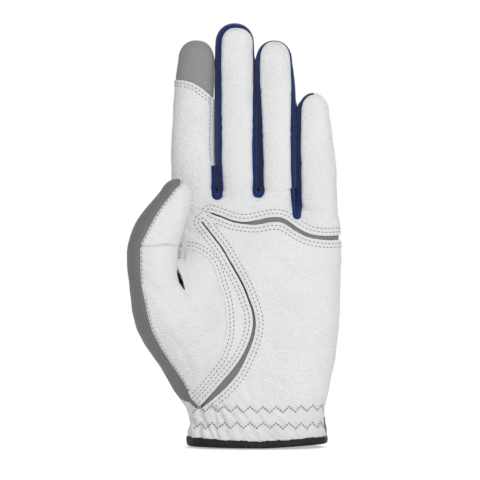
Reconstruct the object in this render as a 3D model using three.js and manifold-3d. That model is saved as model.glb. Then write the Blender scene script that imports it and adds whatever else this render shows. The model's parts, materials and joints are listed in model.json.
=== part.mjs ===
// A golf glove for the left hand, as a shell of sewn panels on the shape of an upright hand.
// Millimetres. +Z runs from the wrist to the fingertips, -Y is the palm side, -X is the thumb side.
// The origin is the middle of the mouth that the hand goes in by.
import * as THREE from "three";
import { mergeVertices } from "three/addons/utils/BufferGeometryUtils.js";
import Module from "manifold-3d";

const wasm = await Module();
wasm.setup();

// ---- driving dimensions ----
const LEATHER = 0.9; // thickness of a leather or knitted panel
const SEAM_GAP = 0.35; // space between two panels along a seam
const LAYER_GAP = 0.35; // space between a panel and a layer sewn on or under it
const FINGER_BEND = 60; // degrees that a finger folds towards the palm
const THUMB_SPREAD = 35; // degrees that the thumb swings away from the index finger
const HINGE_GAP = 0.3; // space between the two edges of a fold, on the side that opens
const AROUND = 28; // corners of a section
const ROUND = 2.3; // exponent of the hand's superelliptic section
const BAND_SHARE = 0.36; // half of a fourchette's width, as a share of the finger's half thickness
const CUFF = { bindingHeight: 4.5, bindingLip: 1.1, gatherTop: 19, elasticLow: 9, elasticHigh: 17.5 };
const ELASTIC = 1.1; // thickness of the elastic behind the zigzag rows
const ZIGZAG = { low: 11.2, high: 19.6, swing: 1.6, pitch: 6.6, thread: 0.5, from: -27, to: 27 };
const TAB = { hingeX: -10, tipX: 27, low: 12, high: 40, corner: 9, leather: 1.3, hook: 0.9, loop: 0.8, hingeGap: 1 };
const SLIT = { x: 6, halfWidth: 4, top: 62, edging: 2.2, gusset: 0.8 };
const KNUCKLE = { low: 88, high: 103 }; // the stretch panel over the knuckles

// Sections of the hand without its thumb: height, edge on the thumb side, edge on the little finger side, half depth.
const HAND = [
  [0, -34.6, 34.6, 21],
  [10, -33.6, 34, 20],
  [20, -34, 34.6, 19],
  [32, -35.5, 37, 18],
  [48, -37, 40, 17.2],
  [64, -38.5, 41.6, 16.6],
  [82, -39.6, 42.3, 16],
  [100, -41, 41.8, 15],
  [113, -42.2, 40.9, 13],
];
const CROTCH = { middle: 127.5, indexSide: 1.2, littleSide: 10, at: 22, least: 114 }; // top of the hand between fingers

// Fingers: middle line at the root and near the tip, half width, half depth, height of the hinge and of the tip.
const FINGERS = {
  index: { x: [-32.2, -32.2, -30.2], half: [10.3, 10.3, 8.8], depth: 8.8, hinge: 135, tip: 203.5, cap: 186 },
  middle: { x: [-10.6, -10.6, -10.8], half: [10.4, 10.4, 9.6], depth: 9.0, hinge: 136.5, tip: 212.5 },
  ring: { x: [11.4, 10.9, 8.8], half: [9.4, 9.4, 8.6], depth: 8.6, hinge: 134.5, tip: 203.5 },
  little: { x: [31.3, 31, 28.2], half: [9.2, 9.1, 7.2], depth: 7.8, hinge: 125.5, tip: 177.5 },
};
const FINGER_ROOT = 100; // height at which a finger starts inside the hand
const FINGER_CURL = 4; // how far a fingertip leans to the palm side

// The thumb's middle line from inside the hand to near its tip, with its half width and half depth there.
const THUMB = [
  { at: [-18, -3, 34], half: 13, depth: 12 },
  { at: [-33, -8, 50], half: 19, depth: 15.5 },
  { at: [-44, -14, 66], half: 18.5, depth: 15.5 },
  { at: [-51, -19, 84], half: 13.4, depth: 12.5 },
  { at: [-51.4, -21.5, 100], half: 12.6, depth: 11 },
  { at: [-46.5, -23, 114], half: 11.3, depth: 10 },
  { at: [-41.5, -23.5, 124], half: 9.2, depth: 8.6 },
];
const THUMB_TIP = [-38.5, -23.5, 133.2];
const THUMB_HINGE = { x: -51, y: -19, z: 89 };

// ---- outlines in the plane of the palm, X and Z ----
const CREASE_LINE = [[-24, 117.5], [-17, 115], [-10, 112.6], [-2, 111.9], [6, 113.4], [13, 113.2], [19, 110], [25, 106.2], [33, 104.7], [46, 104.6]];
const THENAR_LINE = [[-26, 113.5], [-20, 103.5], [-13, 92], [-7, 80], [-2.8, 67], [-2.3, 58], [-6, 45], [-14, 33.5], [-26, 21.8], [-29, 18.4]];
const THUMB_HOLE_LINE = [[-36, 98], [-30, 93.5], [-24, 88], [-18.5, 79.5], [-15.6, 67], [-16.6, 53], [-22.5, 42.5], [-32, 31], [-36, 27]];
const THUMB_SIDE_LINE = [[-58.6, 104], [-58.7, 90], [-58, 76], [-54, 60], [-48.5, 49], [-42, 37], [-35.5, 27.5], [-30, 21.5]];
const CREASE_WIDTH = 2.4;
const THENAR_WIDTH = 1.9;
const WEBS = [
  { x: -20.9, foot: 123.5, radius: 3.6 },
  { x: 1.4, foot: 125, radius: 3.6 },
  { x: 22.2, foot: 114.2, radius: 3.6 },
];

// ---- solids ----
function solid(geometry) {
  const bare = new THREE.BufferGeometry().setAttribute("position", geometry.getAttribute("position"));
  if (geometry.index) bare.setIndex(geometry.index);
  const merged = mergeVertices(bare, 1e-4);
  const made = new wasm.Manifold(
    new wasm.Mesh({
      numProp: 3,
      vertProperties: new Float32Array(merged.attributes.position.array),
      triVerts: new Uint32Array(merged.index.array),
    }),
  );
  return made;
}

// A closed skin over rings of points, with a fan over each end. Rings run upwards, each turning from +X to +Y.
function loft(rings) {
  const n = rings[0].length;
  const points = rings.flat();
  const faces = [];
  for (let r = 0; r + 1 < rings.length; r++)
    for (let i = 0; i < n; i++) {
      const a = r * n + i;
      const b = r * n + ((i + 1) % n);
      faces.push(a, b, b + n, a, b + n, a + n);
    }
  for (const [ring, upper] of [[0, false], [rings.length - 1, true]]) {
    const middle = rings[ring].reduce((s, p) => s.clone().add(p), new THREE.Vector3()).divideScalar(n);
    points.push(middle);
    for (let i = 0; i < n; i++) {
      const a = ring * n + i;
      const b = ring * n + ((i + 1) % n);
      faces.push(...(upper ? [a, b, points.length - 1] : [b, a, points.length - 1]));
    }
  }
  const geometry = new THREE.BufferGeometry().setFromPoints(points);
  geometry.setIndex(faces);
  return solid(geometry);
}

const power = (value, exponent) => Math.sign(value) * Math.abs(value) ** exponent;

// One section: a superellipse about a middle point, across the directions `side` and `front to back`.
function section(middle, side, across, half, depth, exponent = 2, corners = AROUND) {
  const ring = [];
  for (let i = 0; i < corners; i++) {
    const angle = (2 * Math.PI * i) / corners;
    const u = half * power(Math.cos(angle), 2 / exponent);
    const v = depth * power(Math.sin(angle), 2 / exponent);
    ring.push(new THREE.Vector3().copy(middle).addScaledVector(side, u).addScaledVector(across, v));
  }
  return ring;
}

const X = new THREE.Vector3(1, 0, 0);
const Y = new THREE.Vector3(0, 1, 0);
const mix = THREE.MathUtils.lerp;

// The value at height z of a list of [height, value], smoothed between its points.
function along(list, z) {
  const curve = new THREE.CatmullRomCurve3(list.map(([h, value]) => new THREE.Vector3(h, value, 0)));
  let low = 0;
  let high = 1;
  for (let i = 0; i < 30; i++) {
    const t = (low + high) / 2;
    if (curve.getPoint(t).x < z) low = t;
    else high = t;
  }
  return curve.getPoint((low + high) / 2).y;
}

// A box between two corners.
function block(low, high) {
  const box = new THREE.BoxGeometry(high[0] - low[0], high[1] - low[1], high[2] - low[2]);
  box.translate((low[0] + high[0]) / 2, (low[1] + high[1]) / 2, (low[2] + high[2]) / 2);
  return solid(box);
}

// An outline in the palm's plane, pushed from depth y0 to depth y1.
function prism(outline, y0, y1) {
  const shape = new THREE.Shape(outline.map(([x, z]) => new THREE.Vector2(x, z)));
  const body = new THREE.ExtrudeGeometry(shape, { depth: y1 - y0, bevelEnabled: false });
  body.rotateX(Math.PI / 2); // the outline's second axis becomes Z, and its depth runs towards -Y
  body.translate(0, y1, 0);
  return solid(body);
}

// The smooth line through a few points of the palm's plane, as `steps` points.
function smooth(line, steps) {
  const curve = new THREE.SplineCurve(line.map(([x, z]) => new THREE.Vector2(x, z)));
  return curve.getPoints(steps).map((p) => [p.x, p.y]);
}

// A ribbon of one width along a line, as an outline.
function ribbon(line, width, extend = 0, steps = 22) {
  const middle = smooth(line, steps);
  const stretch = (end, next) => {
    const run = Math.hypot(end[0] - next[0], end[1] - next[1]);
    return [end[0] + ((end[0] - next[0]) / run) * extend, end[1] + ((end[1] - next[1]) / run) * extend];
  };
  middle[0] = stretch(middle[0], middle[1]);
  middle[steps] = stretch(middle[steps], middle[steps - 1]);
  const sides = [[], []];
  middle.forEach(([x, z], i) => {
    const before = middle[Math.max(0, i - 1)];
    const after = middle[Math.min(middle.length - 1, i + 1)];
    const run = Math.hypot(after[0] - before[0], after[1] - before[1]);
    const normal = [-(after[1] - before[1]) / run, (after[0] - before[0]) / run];
    sides[0].push([x + (normal[0] * width) / 2, z + (normal[1] * width) / 2]);
    sides[1].push([x - (normal[0] * width) / 2, z - (normal[1] * width) / 2]);
  });
  return [...sides[0], ...sides[1].reverse()];
}

// ---- the hand's form, at any inset from the outside of the glove ----
const handTop = (x) => {
  const fall = x < 0 ? CROTCH.indexSide : CROTCH.littleSide;
  return Math.max(CROTCH.least, CROTCH.middle - fall * (x / CROTCH.at) ** 2);
};

function handForm(inset, openBelow) {
  const rings = [];
  const at = (z, spread, lift) => {
    const left = along(HAND.map((s) => [s[0], s[1]]), z) + inset;
    const right = along(HAND.map((s) => [s[0], s[2]]), z) - inset;
    const depth = along(HAND.map((s) => [s[0], s[3]]), z) - inset;
    const middle = new THREE.Vector3((left + right) / 2, 0, z);
    const ring = section(middle, X, Y, ((right - left) / 2) * spread.across, depth * spread.deep, ROUND);
    const base = HAND[HAND.length - 1][0];
    ring.forEach((p) => (p.z += lift * (handTop(p.x) - inset - base)));
    return ring;
  };
  if (openBelow > 0) rings.push(at(0, { across: 1, deep: 1 }, 0).map((p) => p.clone().setZ(-openBelow)));
  for (const [z] of HAND) rings.push(at(z, { across: 1, deep: 1 }, 0));
  const top = HAND[HAND.length - 1][0];
  for (const share of [0.35, 0.65, 0.87, 0.97])
    rings.push(at(top, { across: 1 - 0.1 * share ** 2, deep: Math.sqrt(1 - share * share * 0.92) }, share));
  return loft(rings);
}

// Values along a finger: share 0 is its root and 1 is where the round tip starts.
function fingerAt(finger, z) {
  const straight = finger.tip - finger.half[2] * 1.05;
  const share = THREE.MathUtils.clamp((z - finger.hinge) / (straight - finger.hinge), -1, 1);
  const pick = (list) => (share < 0 ? mix(list[1], list[0], -share) : mix(list[1], list[2], share * share));
  const curl = -FINGER_CURL * Math.max(0, (z - finger.hinge) / (finger.tip - finger.hinge)) ** 2;
  return { x: pick(finger.x), y: curl, half: pick(finger.half), straight, share: Math.max(0, share) };
}

function fingerRings(finger, shapeAt) {
  const { straight } = fingerAt(finger, finger.tip);
  const heights = [FINGER_ROOT, finger.hinge - 12, finger.hinge, finger.hinge + 14];
  const free = straight - finger.hinge - 14;
  for (const share of [0.25, 0.5, 0.75, 1]) heights.push(finger.hinge + 14 + free * share);
  return heights.map((z) => shapeAt(z, 0)).concat(
    [0.4, 0.7, 0.9, 0.985].map((round) => shapeAt(mix(straight, finger.tip, round), round)),
  );
}

function fingerForm(finger, inset) {
  return loft(
    fingerRings(finger, (z, round) => {
      const { x, y, half, share } = fingerAt(finger, z);
      const closing = Math.sqrt(1 - round * round);
      const depth = finger.depth * (1 - 0.12 * share);
      const middle = new THREE.Vector3(x, y, z - (round > 0 ? inset * round : 0));
      return section(middle, X, Y, (half - inset) * closing, (depth - inset) * closing, 2, 20);
    }),
  );
}

// A slab that follows the finger's curl, wider than the finger, from y0 to y1 about its middle.
function fingerSlab(finger, y0, y1, x0 = -30, x1 = 30) {
  return loft(
    [FINGER_ROOT - 5, finger.hinge, mix(finger.hinge, finger.tip, 0.35), mix(finger.hinge, finger.tip, 0.7), finger.tip + 5].map((z) => {
      const { x, y } = fingerAt(finger, Math.min(z, finger.tip));
      const corner = (dx, dy) => new THREE.Vector3(x + dx, y + dy, z);
      return [corner(x1, y0), corner(x1, y1), corner(x0, y1), corner(x0, y0)];
    }),
  );
}

function thumbForm(inset) {
  const curve = new THREE.CatmullRomCurve3(THUMB.map((s) => new THREE.Vector3(...s.at)));
  const last = THUMB.length - 1;
  const sizeAt = (t, key) => along(THUMB.map((s, i) => [i, s[key]]), t * last) - inset;
  const steps = 12;
  const rings = [];
  for (let i = 0; i <= steps; i++) {
    const t = i / steps;
    const tangent = curve.getTangent(t);
    const across = new THREE.Vector3().crossVectors(tangent, X).normalize();
    const side = new THREE.Vector3().crossVectors(across, tangent).normalize();
    rings.push(section(curve.getPoint(t), side, across, sizeAt(t, "half"), sizeAt(t, "depth"), 2, 22));
  }
  const end = curve.getPoint(1);
  const tip = new THREE.Vector3(...THUMB_TIP);
  const out = tip.clone().sub(end);
  const across = new THREE.Vector3().crossVectors(out, X).normalize();
  const side = new THREE.Vector3().crossVectors(across, out).normalize();
  for (const round of [0.4, 0.7, 0.9, 0.985]) {
    const closing = Math.sqrt(1 - round * round);
    const middle = end.clone().addScaledVector(out, round).addScaledVector(out.clone().normalize(), -inset * round);
    rings.push(section(middle, side, across, sizeAt(1, "half") * closing, sizeAt(1, "depth") * closing, 2, 22));
  }
  return loft(rings);
}

// The whole glove as one solid form. Everything is cut from the wall between two of these.
function gloveForm(inset, openBelow = 0) {
  let form = handForm(inset, openBelow);
  for (const finger of Object.values(FINGERS)) form = form.add(fingerForm(finger, inset));
  return form.add(thumbForm(inset));
}

const outside = gloveForm(0);
const inside = gloveForm(LEATHER, 20);
const wall = outside.subtract(inside);
const layer = (from, to) => gloveForm(-to, 20).subtract(gloveForm(-from, 40)); // a skin outside the wall
const lining = (from, to) => gloveForm(LEATHER + from, 20).subtract(gloveForm(LEATHER + to, 40)); // a skin inside it

// ---- the folds where fingers and thumb bend ----
const FAR = 120;

// The space over a hinge: above it, a side that leans by `lean` degrees opens the fold on the palm side.
function foldAbove(hinge, lean, gap, x0, x1) {
  const drop = Math.tan(THREE.MathUtils.degToRad(lean)) * 40;
  const outline = [[-40, hinge + drop + gap], [0, hinge + gap], [40, hinge + gap], [40, hinge + FAR], [-40, hinge + FAR]];
  const shape = new THREE.Shape(outline.map(([y, z]) => new THREE.Vector2(y, z)));
  const body = new THREE.ExtrudeGeometry(shape, { depth: x1 - x0, bevelEnabled: false });
  body.applyMatrix4(new THREE.Matrix4().makeBasis(Y, new THREE.Vector3(0, 0, 1), X)); // depth runs along +X
  body.translate(x0, 0, 0);
  return solid(body);
}

const fingerNames = Object.keys(FINGERS);
const between = fingerNames.slice(1).map((name, i) => {
  const lower = FINGERS[fingerNames[i]];
  const upper = FINGERS[name];
  const z = Math.max(lower.hinge, upper.hinge);
  const a = fingerAt(lower, z);
  const b = fingerAt(upper, z);
  return (a.x + a.half + b.x - b.half) / 2;
});
const reach = (i) => [i === 0 ? -60 : between[i - 1], i === 3 ? 60 : between[i]];

const zone = {}; // for each moving finger: the space that it fills, and the space of its crease
fingerNames.forEach((name, i) => {
  const { hinge } = FINGERS[name];
  const [x0, x1] = reach(i);
  const lean = FINGER_BEND / 2;
  const own = fingerForm(FINGERS[name], -2);
  const moving = foldAbove(hinge, lean, HINGE_GAP / 2, x0, x1).intersect(own);
  const still = foldAbove(hinge, -lean, -HINGE_GAP / 2, x0, x1).intersect(own);
  zone[name] = { moving, still, own };
});

const thumbOwn = thumbForm(-2);
const thumbFold = (lean, gap) => {
  const { x, z } = THUMB_HINGE;
  const rise = Math.tan(THREE.MathUtils.degToRad(lean)) * 40;
  const outline = [[x - 40, z + rise + gap], [x, z + gap], [x + 40, z + gap], [x + 40, z + FAR], [x - 40, z + FAR]];
  return prism(outline, -60, 40);
};
zone.thumb = {
  moving: thumbFold(THUMB_SPREAD / 2, HINGE_GAP / 2).intersect(thumbOwn),
  still: thumbFold(-THUMB_SPREAD / 2, -HINGE_GAP / 2).intersect(thumbOwn),
  own: thumbOwn,
};

// Everything that a fold takes away from the part of the glove that stays still.
let folded = zone.thumb.still;
for (const name of fingerNames) folded = folded.add(zone[name].still);
const stillWall = wall.subtract(folded);

// ---- the scene graph ----
const glove = new THREE.Group();
const materials = {
  white_leather: new THREE.MeshStandardMaterial({ color: "#ececec", roughness: 0.62, metalness: 0 }),
  grey_knit: new THREE.MeshStandardMaterial({ color: "#7e8080", roughness: 0.85, metalness: 0 }),
  blue_knit: new THREE.MeshStandardMaterial({ color: "#1c3a78", roughness: 0.85, metalness: 0 }),
  black_binding: new THREE.MeshStandardMaterial({ color: "#1b1c1d", roughness: 0.6, metalness: 0 }),
  white_thread: new THREE.MeshStandardMaterial({ color: "#f2f2f0", roughness: 0.7, metalness: 0 }),
  white_elastic: new THREE.MeshStandardMaterial({ color: "#e2e2e0", roughness: 0.8, metalness: 0 }),
  grey_hook: new THREE.MeshStandardMaterial({ color: "#c9cacb", roughness: 0.9, metalness: 0 }),
};

// The largest body of a cut: slivers that a cut leaves beside it are dropped.
function largest(made) {
  return made.decompose().sort((a, b) => b.volume() - a.volume())[0];
}

function place(name, made, material) {
  const { numProp, numVert, vertProperties, triVerts } = largest(made.simplify(0.04)).getMesh();
  const points = new Float32Array(numVert * 3);
  for (let i = 0; i < numVert; i++) points.set(vertProperties.subarray(i * numProp, i * numProp + 3), i * 3);
  const geometry = new THREE.BufferGeometry();
  geometry.setAttribute("position", new THREE.BufferAttribute(points, 3));
  geometry.setIndex(new THREE.BufferAttribute(triVerts, 1));
  const mesh = new THREE.Mesh(geometry, materials[material]);
  mesh.name = name;
  glove.add(mesh);
  return mesh;
}

// ---- fingers: leather front and back, a knitted fourchette between them, and a crease at the fold ----
const wrapsTo = { index: -1, little: 1 }; // the side where the front leather runs round to the back
fingerNames.forEach((name, i) => {
  const finger = FINGERS[name];
  const { moving, still, own } = zone[name];
  const side = wrapsTo[name] ?? 0;
  const band = finger.depth * BAND_SHARE;
  const half = SEAM_GAP / 2;
  let front = fingerSlab(finger, -30, -band - half);
  let back = fingerSlab(finger, band + half, 30);
  let sides = fingerSlab(finger, -band + half, band - half);
  if (side) {
    const edge = (x) => (side < 0 ? [-30, x - half] : [x + half, 30]);
    front = front.add(fingerSlab(finger, -31, band - half, ...edge(0)));
    sides = sides.subtract(fingerSlab(finger, -31, 31, ...(side < 0 ? [-30, half] : [-half, 30])));
  }
  let shell = wall.intersect(moving);
  if (finger.cap) {
    const cap = block([-60, -30, finger.cap], [0, 30, 240]);
    place(`${name}_tip_cap`, shell.intersect(cap), "grey_knit");
    shell = shell.subtract(block([-60, -30, finger.cap - SEAM_GAP], [0, 30, 240]));
  }
  place(`${name}_front_leather`, shell.intersect(front), "white_leather");
  place(`${name}_back_leather`, shell.intersect(back), "white_leather");
  place(`${name}_fourchette`, shell.intersect(sides), "blue_knit");
  const [x0, x1] = reach(i);
  const over = foldAbove(finger.hinge, FINGER_BEND / 2, HINGE_GAP / 2 - SEAM_GAP, x0, x1);
  const under = foldAbove(finger.hinge, -FINGER_BEND / 2, -HINGE_GAP / 2 + SEAM_GAP, x0, x1);
  const palmHalf = block([-60, -40, FINGER_ROOT], [60, -1.2, 240]);
  place(`${name}_crease`, wall.intersect(under).intersect(own).intersect(still).subtract(over).intersect(palmHalf), "white_leather");
});

// ---- thumb: leather front, knitted back, and a crease on the outer side of its fold ----
const thumbBack = (gap) => {
  const turned = new THREE.BoxGeometry(80, 60, 200);
  turned.translate(0, 30 + gap, 0);
  turned.rotateZ(THREE.MathUtils.degToRad(48));
  turned.translate(THUMB_HINGE.x, THUMB_HINGE.y, 90);
  return solid(turned);
};
const thumbWall = wall.intersect(zone.thumb.moving).subtract(handForm(-SEAM_GAP, 0)).subtract(fingerForm(FINGERS.index, -SEAM_GAP));
place("thumb_front_leather", thumbWall.subtract(thumbBack(2 - SEAM_GAP)), "white_leather");
place("thumb_back_knit", thumbWall.intersect(thumbBack(2)), "grey_knit");
const thumbCrease = wall
  .intersect(zone.thumb.still)
  .subtract(thumbFold(THUMB_SPREAD / 2, HINGE_GAP / 2 - SEAM_GAP))
  .intersect(thumbFold(-THUMB_SPREAD / 2, -HINGE_GAP / 2 + SEAM_GAP))
  .intersect(block([-90, -60, 60], [THUMB_HINGE.x - 2, 20, 120]));
place("thumb_crease", thumbCrease, "grey_knit");

// ---- the palm side of the hand ----
const OUT = 75;
const gap = SEAM_GAP / 2;
const offset = (line, distance) => ribbon(line, 2 * distance).slice(0, 23);
const aboveCuff = block([-90, -60, CUFF.gatherTop + gap], [90, 0, 240]);
const palmSide = block([-90, -60, -5], [90, -gap, 240]);
const front = stillWall.intersect(palmSide);

let webSolid = null;
WEBS.forEach(({ x, foot, radius }, i) => {
  const web = (grow) => {
    const r = radius + grow;
    const shape = [[x + r, foot + r + 30], [x - r, foot + r + 30]];
    for (let k = 0; k <= 8; k++) {
      const angle = Math.PI + (Math.PI * k) / 8;
      shape.push([x + r * Math.cos(angle), foot + radius + r * Math.sin(angle)]);
    }
    return prism(shape, -60, 60);
  };
  place(`web_${fingerNames[i]}_${fingerNames[i + 1]}`, stillWall.intersect(web(-gap)).subtract(block([-90, 4, 0], [90, 60, 240])), "blue_knit");
  webSolid = webSolid ? webSolid.add(web(gap)) : web(gap);
});
webSolid = webSolid.subtract(block([-90, 4 + SEAM_GAP, 0], [90, 60, 240]));

const creaseLine = smooth(CREASE_LINE, 22);
const thenarLine = smooth(THENAR_LINE, 22);
const holeLine = smooth(THUMB_HOLE_LINE, 22);
const creaseRibbon = (width, extend) => prism(ribbon(CREASE_LINE, width, extend), -60, 0);
const thenarRibbon = (width, extend) => prism(ribbon(THENAR_LINE, width, extend), -60, 0);
const holeFence = prism(ribbon(THUMB_HOLE_LINE, SEAM_GAP, 3), -60, 20);
const rootFence = prism(ribbon([[-46, 104], [-36, 104], THENAR_LINE[0], CREASE_LINE[0]], SEAM_GAP, 1), -60, 0);
const ribbons = creaseRibbon(CREASE_WIDTH + 2 * SEAM_GAP, SEAM_GAP)
  .add(thenarRibbon(THENAR_WIDTH + 2 * SEAM_GAP, SEAM_GAP))
  .add(holeFence)
  .add(rootFence);
const open = front.subtract(ribbons).subtract(webSolid);

place("crease_stretch_insert", front.intersect(creaseRibbon(CREASE_WIDTH, 0)).subtract(webSolid), "grey_knit");
place("thenar_stretch_insert", front.intersect(thenarRibbon(THENAR_WIDTH, 0)).subtract(creaseRibbon(CREASE_WIDTH + 2 * SEAM_GAP, SEAM_GAP)).intersect(aboveCuff), "grey_knit");

const start = creaseLine[0];
const overCrease = prism([...creaseLine, [OUT, 105], [OUT, 200], [-OUT, 200], [-OUT, 108], [-36, 104], [thenarLine[0][0], thenarLine[0][1]], start], -60, 0);
const insidePalm = prism([...creaseLine, [OUT, 104.5], [OUT, 0], [thenarLine[22][0], 0], ...[...thenarLine].reverse()], -60, 0);
const insideThumb = prism([...holeLine, [-OUT, 20], [-OUT, 110], [-50, 110]], -60, 20);
const overBand = prism([[-36, 104], ...thenarLine, [thenarLine[22][0], 0], [-60, 0], ...[...holeLine].reverse()], -60, 0);

place("finger_root_leather", open.intersect(overCrease).subtract(insideThumb), "white_leather");
place("palm_leather", open.intersect(insidePalm).subtract(overCrease).intersect(aboveCuff), "white_leather");

const sideLine = smooth(THUMB_SIDE_LINE, 22);
const thumbSide = prism([...sideLine, [-OUT, 12], [-OUT, 112]], -60, 60);
const holeEdge = prism([...offset(THUMB_HOLE_LINE, -gap), [-OUT, 20], [-OUT, 110], [-50, 110]], -60, 20);
place("thumb_seam_band", open.intersect(overBand).subtract(overCrease).subtract(insidePalm).subtract(holeEdge).intersect(aboveCuff).subtract(thumbSide), "white_leather");
place("thenar_leather", open.intersect(insideThumb).intersect(aboveCuff).subtract(prism(ribbon(THUMB_SIDE_LINE, SEAM_GAP), -60, 60)).subtract(thumbSide).subtract(prism(ribbon(THUMB_HOLE_LINE, SEAM_GAP), -60, 60)), "white_leather");

// ---- the back of the hand ----
const backSide = block([-90, gap, -5], [90, 60, 240]);
const back = stillWall.intersect(backSide).subtract(webSolid);
const slitShape = (grow) => {
  const half = SLIT.halfWidth + grow;
  const end = SLIT.top - SLIT.halfWidth;
  const outline = [[SLIT.x + half * 0.6, -10]];
  for (let k = 0; k <= 8; k++) {
    const angle = (Math.PI * k) / 8;
    outline.push([SLIT.x + half * Math.cos(angle), end + half * Math.sin(angle)]);
  }
  outline.push([SLIT.x - half * 0.6, -10]);
  return prism(outline, 0, 60);
};
const knuckles = (grow) => block([-90, 0, KNUCKLE.low - grow], [90, 60, KNUCKLE.high + grow]);
const leatherBack = back
  .subtract(slitShape(SLIT.edging + gap))
  .subtract(knuckles(SEAM_GAP))
  .subtract(block([-90, 0, -5], [90, 60, CUFF.bindingHeight + gap]));
place("knuckle_stretch_panel", back.intersect(knuckles(0)).subtract(insideThumb), "grey_knit");
place("finger_root_back", leatherBack.intersect(block([-90, 0, KNUCKLE.high], [90, 60, 240])), "white_leather");
place("back_leather", leatherBack.intersect(block([-90, 0, 0], [90, 60, KNUCKLE.low])).subtract(zone.thumb.own), "white_leather");
place("slit_edging", back.intersect(slitShape(SLIT.edging)).subtract(slitShape(0)).intersect(block([-90, 0, CUFF.bindingHeight + gap], [90, 60, 240])), "grey_knit");
place("thumb_side_knit", stillWall.intersect(thumbForm(SEAM_GAP - 2)).subtract(palmSideOnly()).intersect(block([-90, -60, CUFF.gatherTop + gap], [90, 60, 240])).subtract(prism(ribbon(THUMB_SIDE_LINE, SEAM_GAP), -60, gap)), "grey_knit");

// The part of the thumb's root that the leather of the palm side covers.
function palmSideOnly() {
  const shown = prism([...sideLine, [0, 12], [0, 112]], -60, 0);
  return shown;
}

// ---- cuff ----
const gatherFront = front.intersect(block([-90, -60, CUFF.bindingHeight + gap], [90, 0, CUFF.gatherTop - gap]));
place("cuff_front_leather", gatherFront, "white_leather");
const bindingBand = block([-90, -60, 0], [90, 60, CUFF.bindingHeight]);
const bindingCore = lining(-LEATHER, CUFF.bindingLip * 0.5).add(wall).add(layer(0, CUFF.bindingLip));
place("cuff_binding", bindingCore.intersect(bindingBand).subtract(slitShape(-gap)), "black_binding");
const elasticZone = block([-90, -60, CUFF.elasticLow], [90, -2, CUFF.elasticHigh]);
place("cuff_elastic", lining(LAYER_GAP, LAYER_GAP + ELASTIC).intersect(elasticZone), "white_elastic");
place("slit_gusset", lining(LAYER_GAP, LAYER_GAP + SLIT.gusset).intersect(slitShape(SLIT.edging * 0.9)).intersect(block([-90, 0, CUFF.bindingHeight + 2], [90, 60, 240])), "white_elastic");

// A thread that zigzags round the front of the cuff, on the leather.
function zigzag(name, height) {
  const stand = LAYER_GAP + ZIGZAG.thread / 2;
  const points = [];
  const turns = Math.round((2 * (ZIGZAG.to - ZIGZAG.from)) / ZIGZAG.pitch);
  for (let i = 0; i <= turns; i++) {
    const x = mix(ZIGZAG.from, ZIGZAG.to, i / turns);
    const z = height + (i % 2 ? ZIGZAG.swing : -ZIGZAG.swing);
    const half = (along(HAND.map((s) => [s[0], s[2]]), z) - along(HAND.map((s) => [s[0], s[1]]), z)) / 2;
    const depth = along(HAND.map((s) => [s[0], s[3]]), z);
    const y = -depth * (1 - Math.min(0.98, Math.abs(x) / half) ** ROUND) ** (1 / ROUND);
    points.push(new THREE.Vector3(x, y - stand - 0.25, z));
  }
  const path = new THREE.CurvePath();
  for (let i = 0; i + 1 < points.length; i++) path.add(new THREE.LineCurve3(points[i], points[i + 1]));
  const ring = new THREE.Shape().absarc(0, 0, ZIGZAG.thread / 2, 0, 2 * Math.PI);
  const route = new THREE.CatmullRomCurve3(points, false, "catmullrom", 0.05);
  const body = new THREE.ExtrudeGeometry(ring, { steps: points.length * 2, curveSegments: 3, extrudePath: route, bevelEnabled: false });
  place(name, solid(body), "white_thread");
}
zigzag("zigzag_thread_lower", ZIGZAG.low);
zigzag("zigzag_thread_upper", ZIGZAG.high);

// ---- closure tab: leather with a hook pad under it, and the loop pad that it grips ----
function tabShape(inset, fromX) {
  const [low, high, tip] = [TAB.low + inset, TAB.high - inset, TAB.tipX - inset];
  const corner = TAB.corner - inset;
  const outline = [[fromX, low]];
  for (const [z, turn] of [[low + corner, 0], [high - corner, 1]])
    for (let k = 0; k <= 5; k++) {
      const angle = (Math.PI / 2) * (turn - 1 + k / 5);
      outline.push([tip - corner + corner * Math.cos(angle), z + corner * Math.sin(angle)]);
    }
  return prism([...outline, [fromX, high]], 0, 60);
}
const hookFrom = 2 * LAYER_GAP + TAB.loop;
const tabFrom = hookFrom + TAB.hook + LAYER_GAP;
const loopX = SLIT.x + SLIT.halfWidth + SLIT.edging + 0.6;
place("loop_pad", layer(LAYER_GAP, LAYER_GAP + TAB.loop).intersect(tabShape(2.2, loopX)), "grey_hook");
place("tab_hook_pad", layer(hookFrom, hookFrom + TAB.hook).intersect(tabShape(2.8, loopX + 0.6)), "grey_hook");
place("tab_leather", layer(tabFrom, tabFrom + TAB.leather).intersect(tabShape(0, TAB.hingeX)), "white_leather");
place("tab_anchor", layer(LAYER_GAP, tabFrom + TAB.leather).intersect(tabShape(0, TAB.hingeX - 9)).subtract(tabShape(-5, TAB.hingeX - TAB.hingeGap)), "white_leather");

export default glove;
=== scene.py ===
import json
import math
from functools import lru_cache

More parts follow.
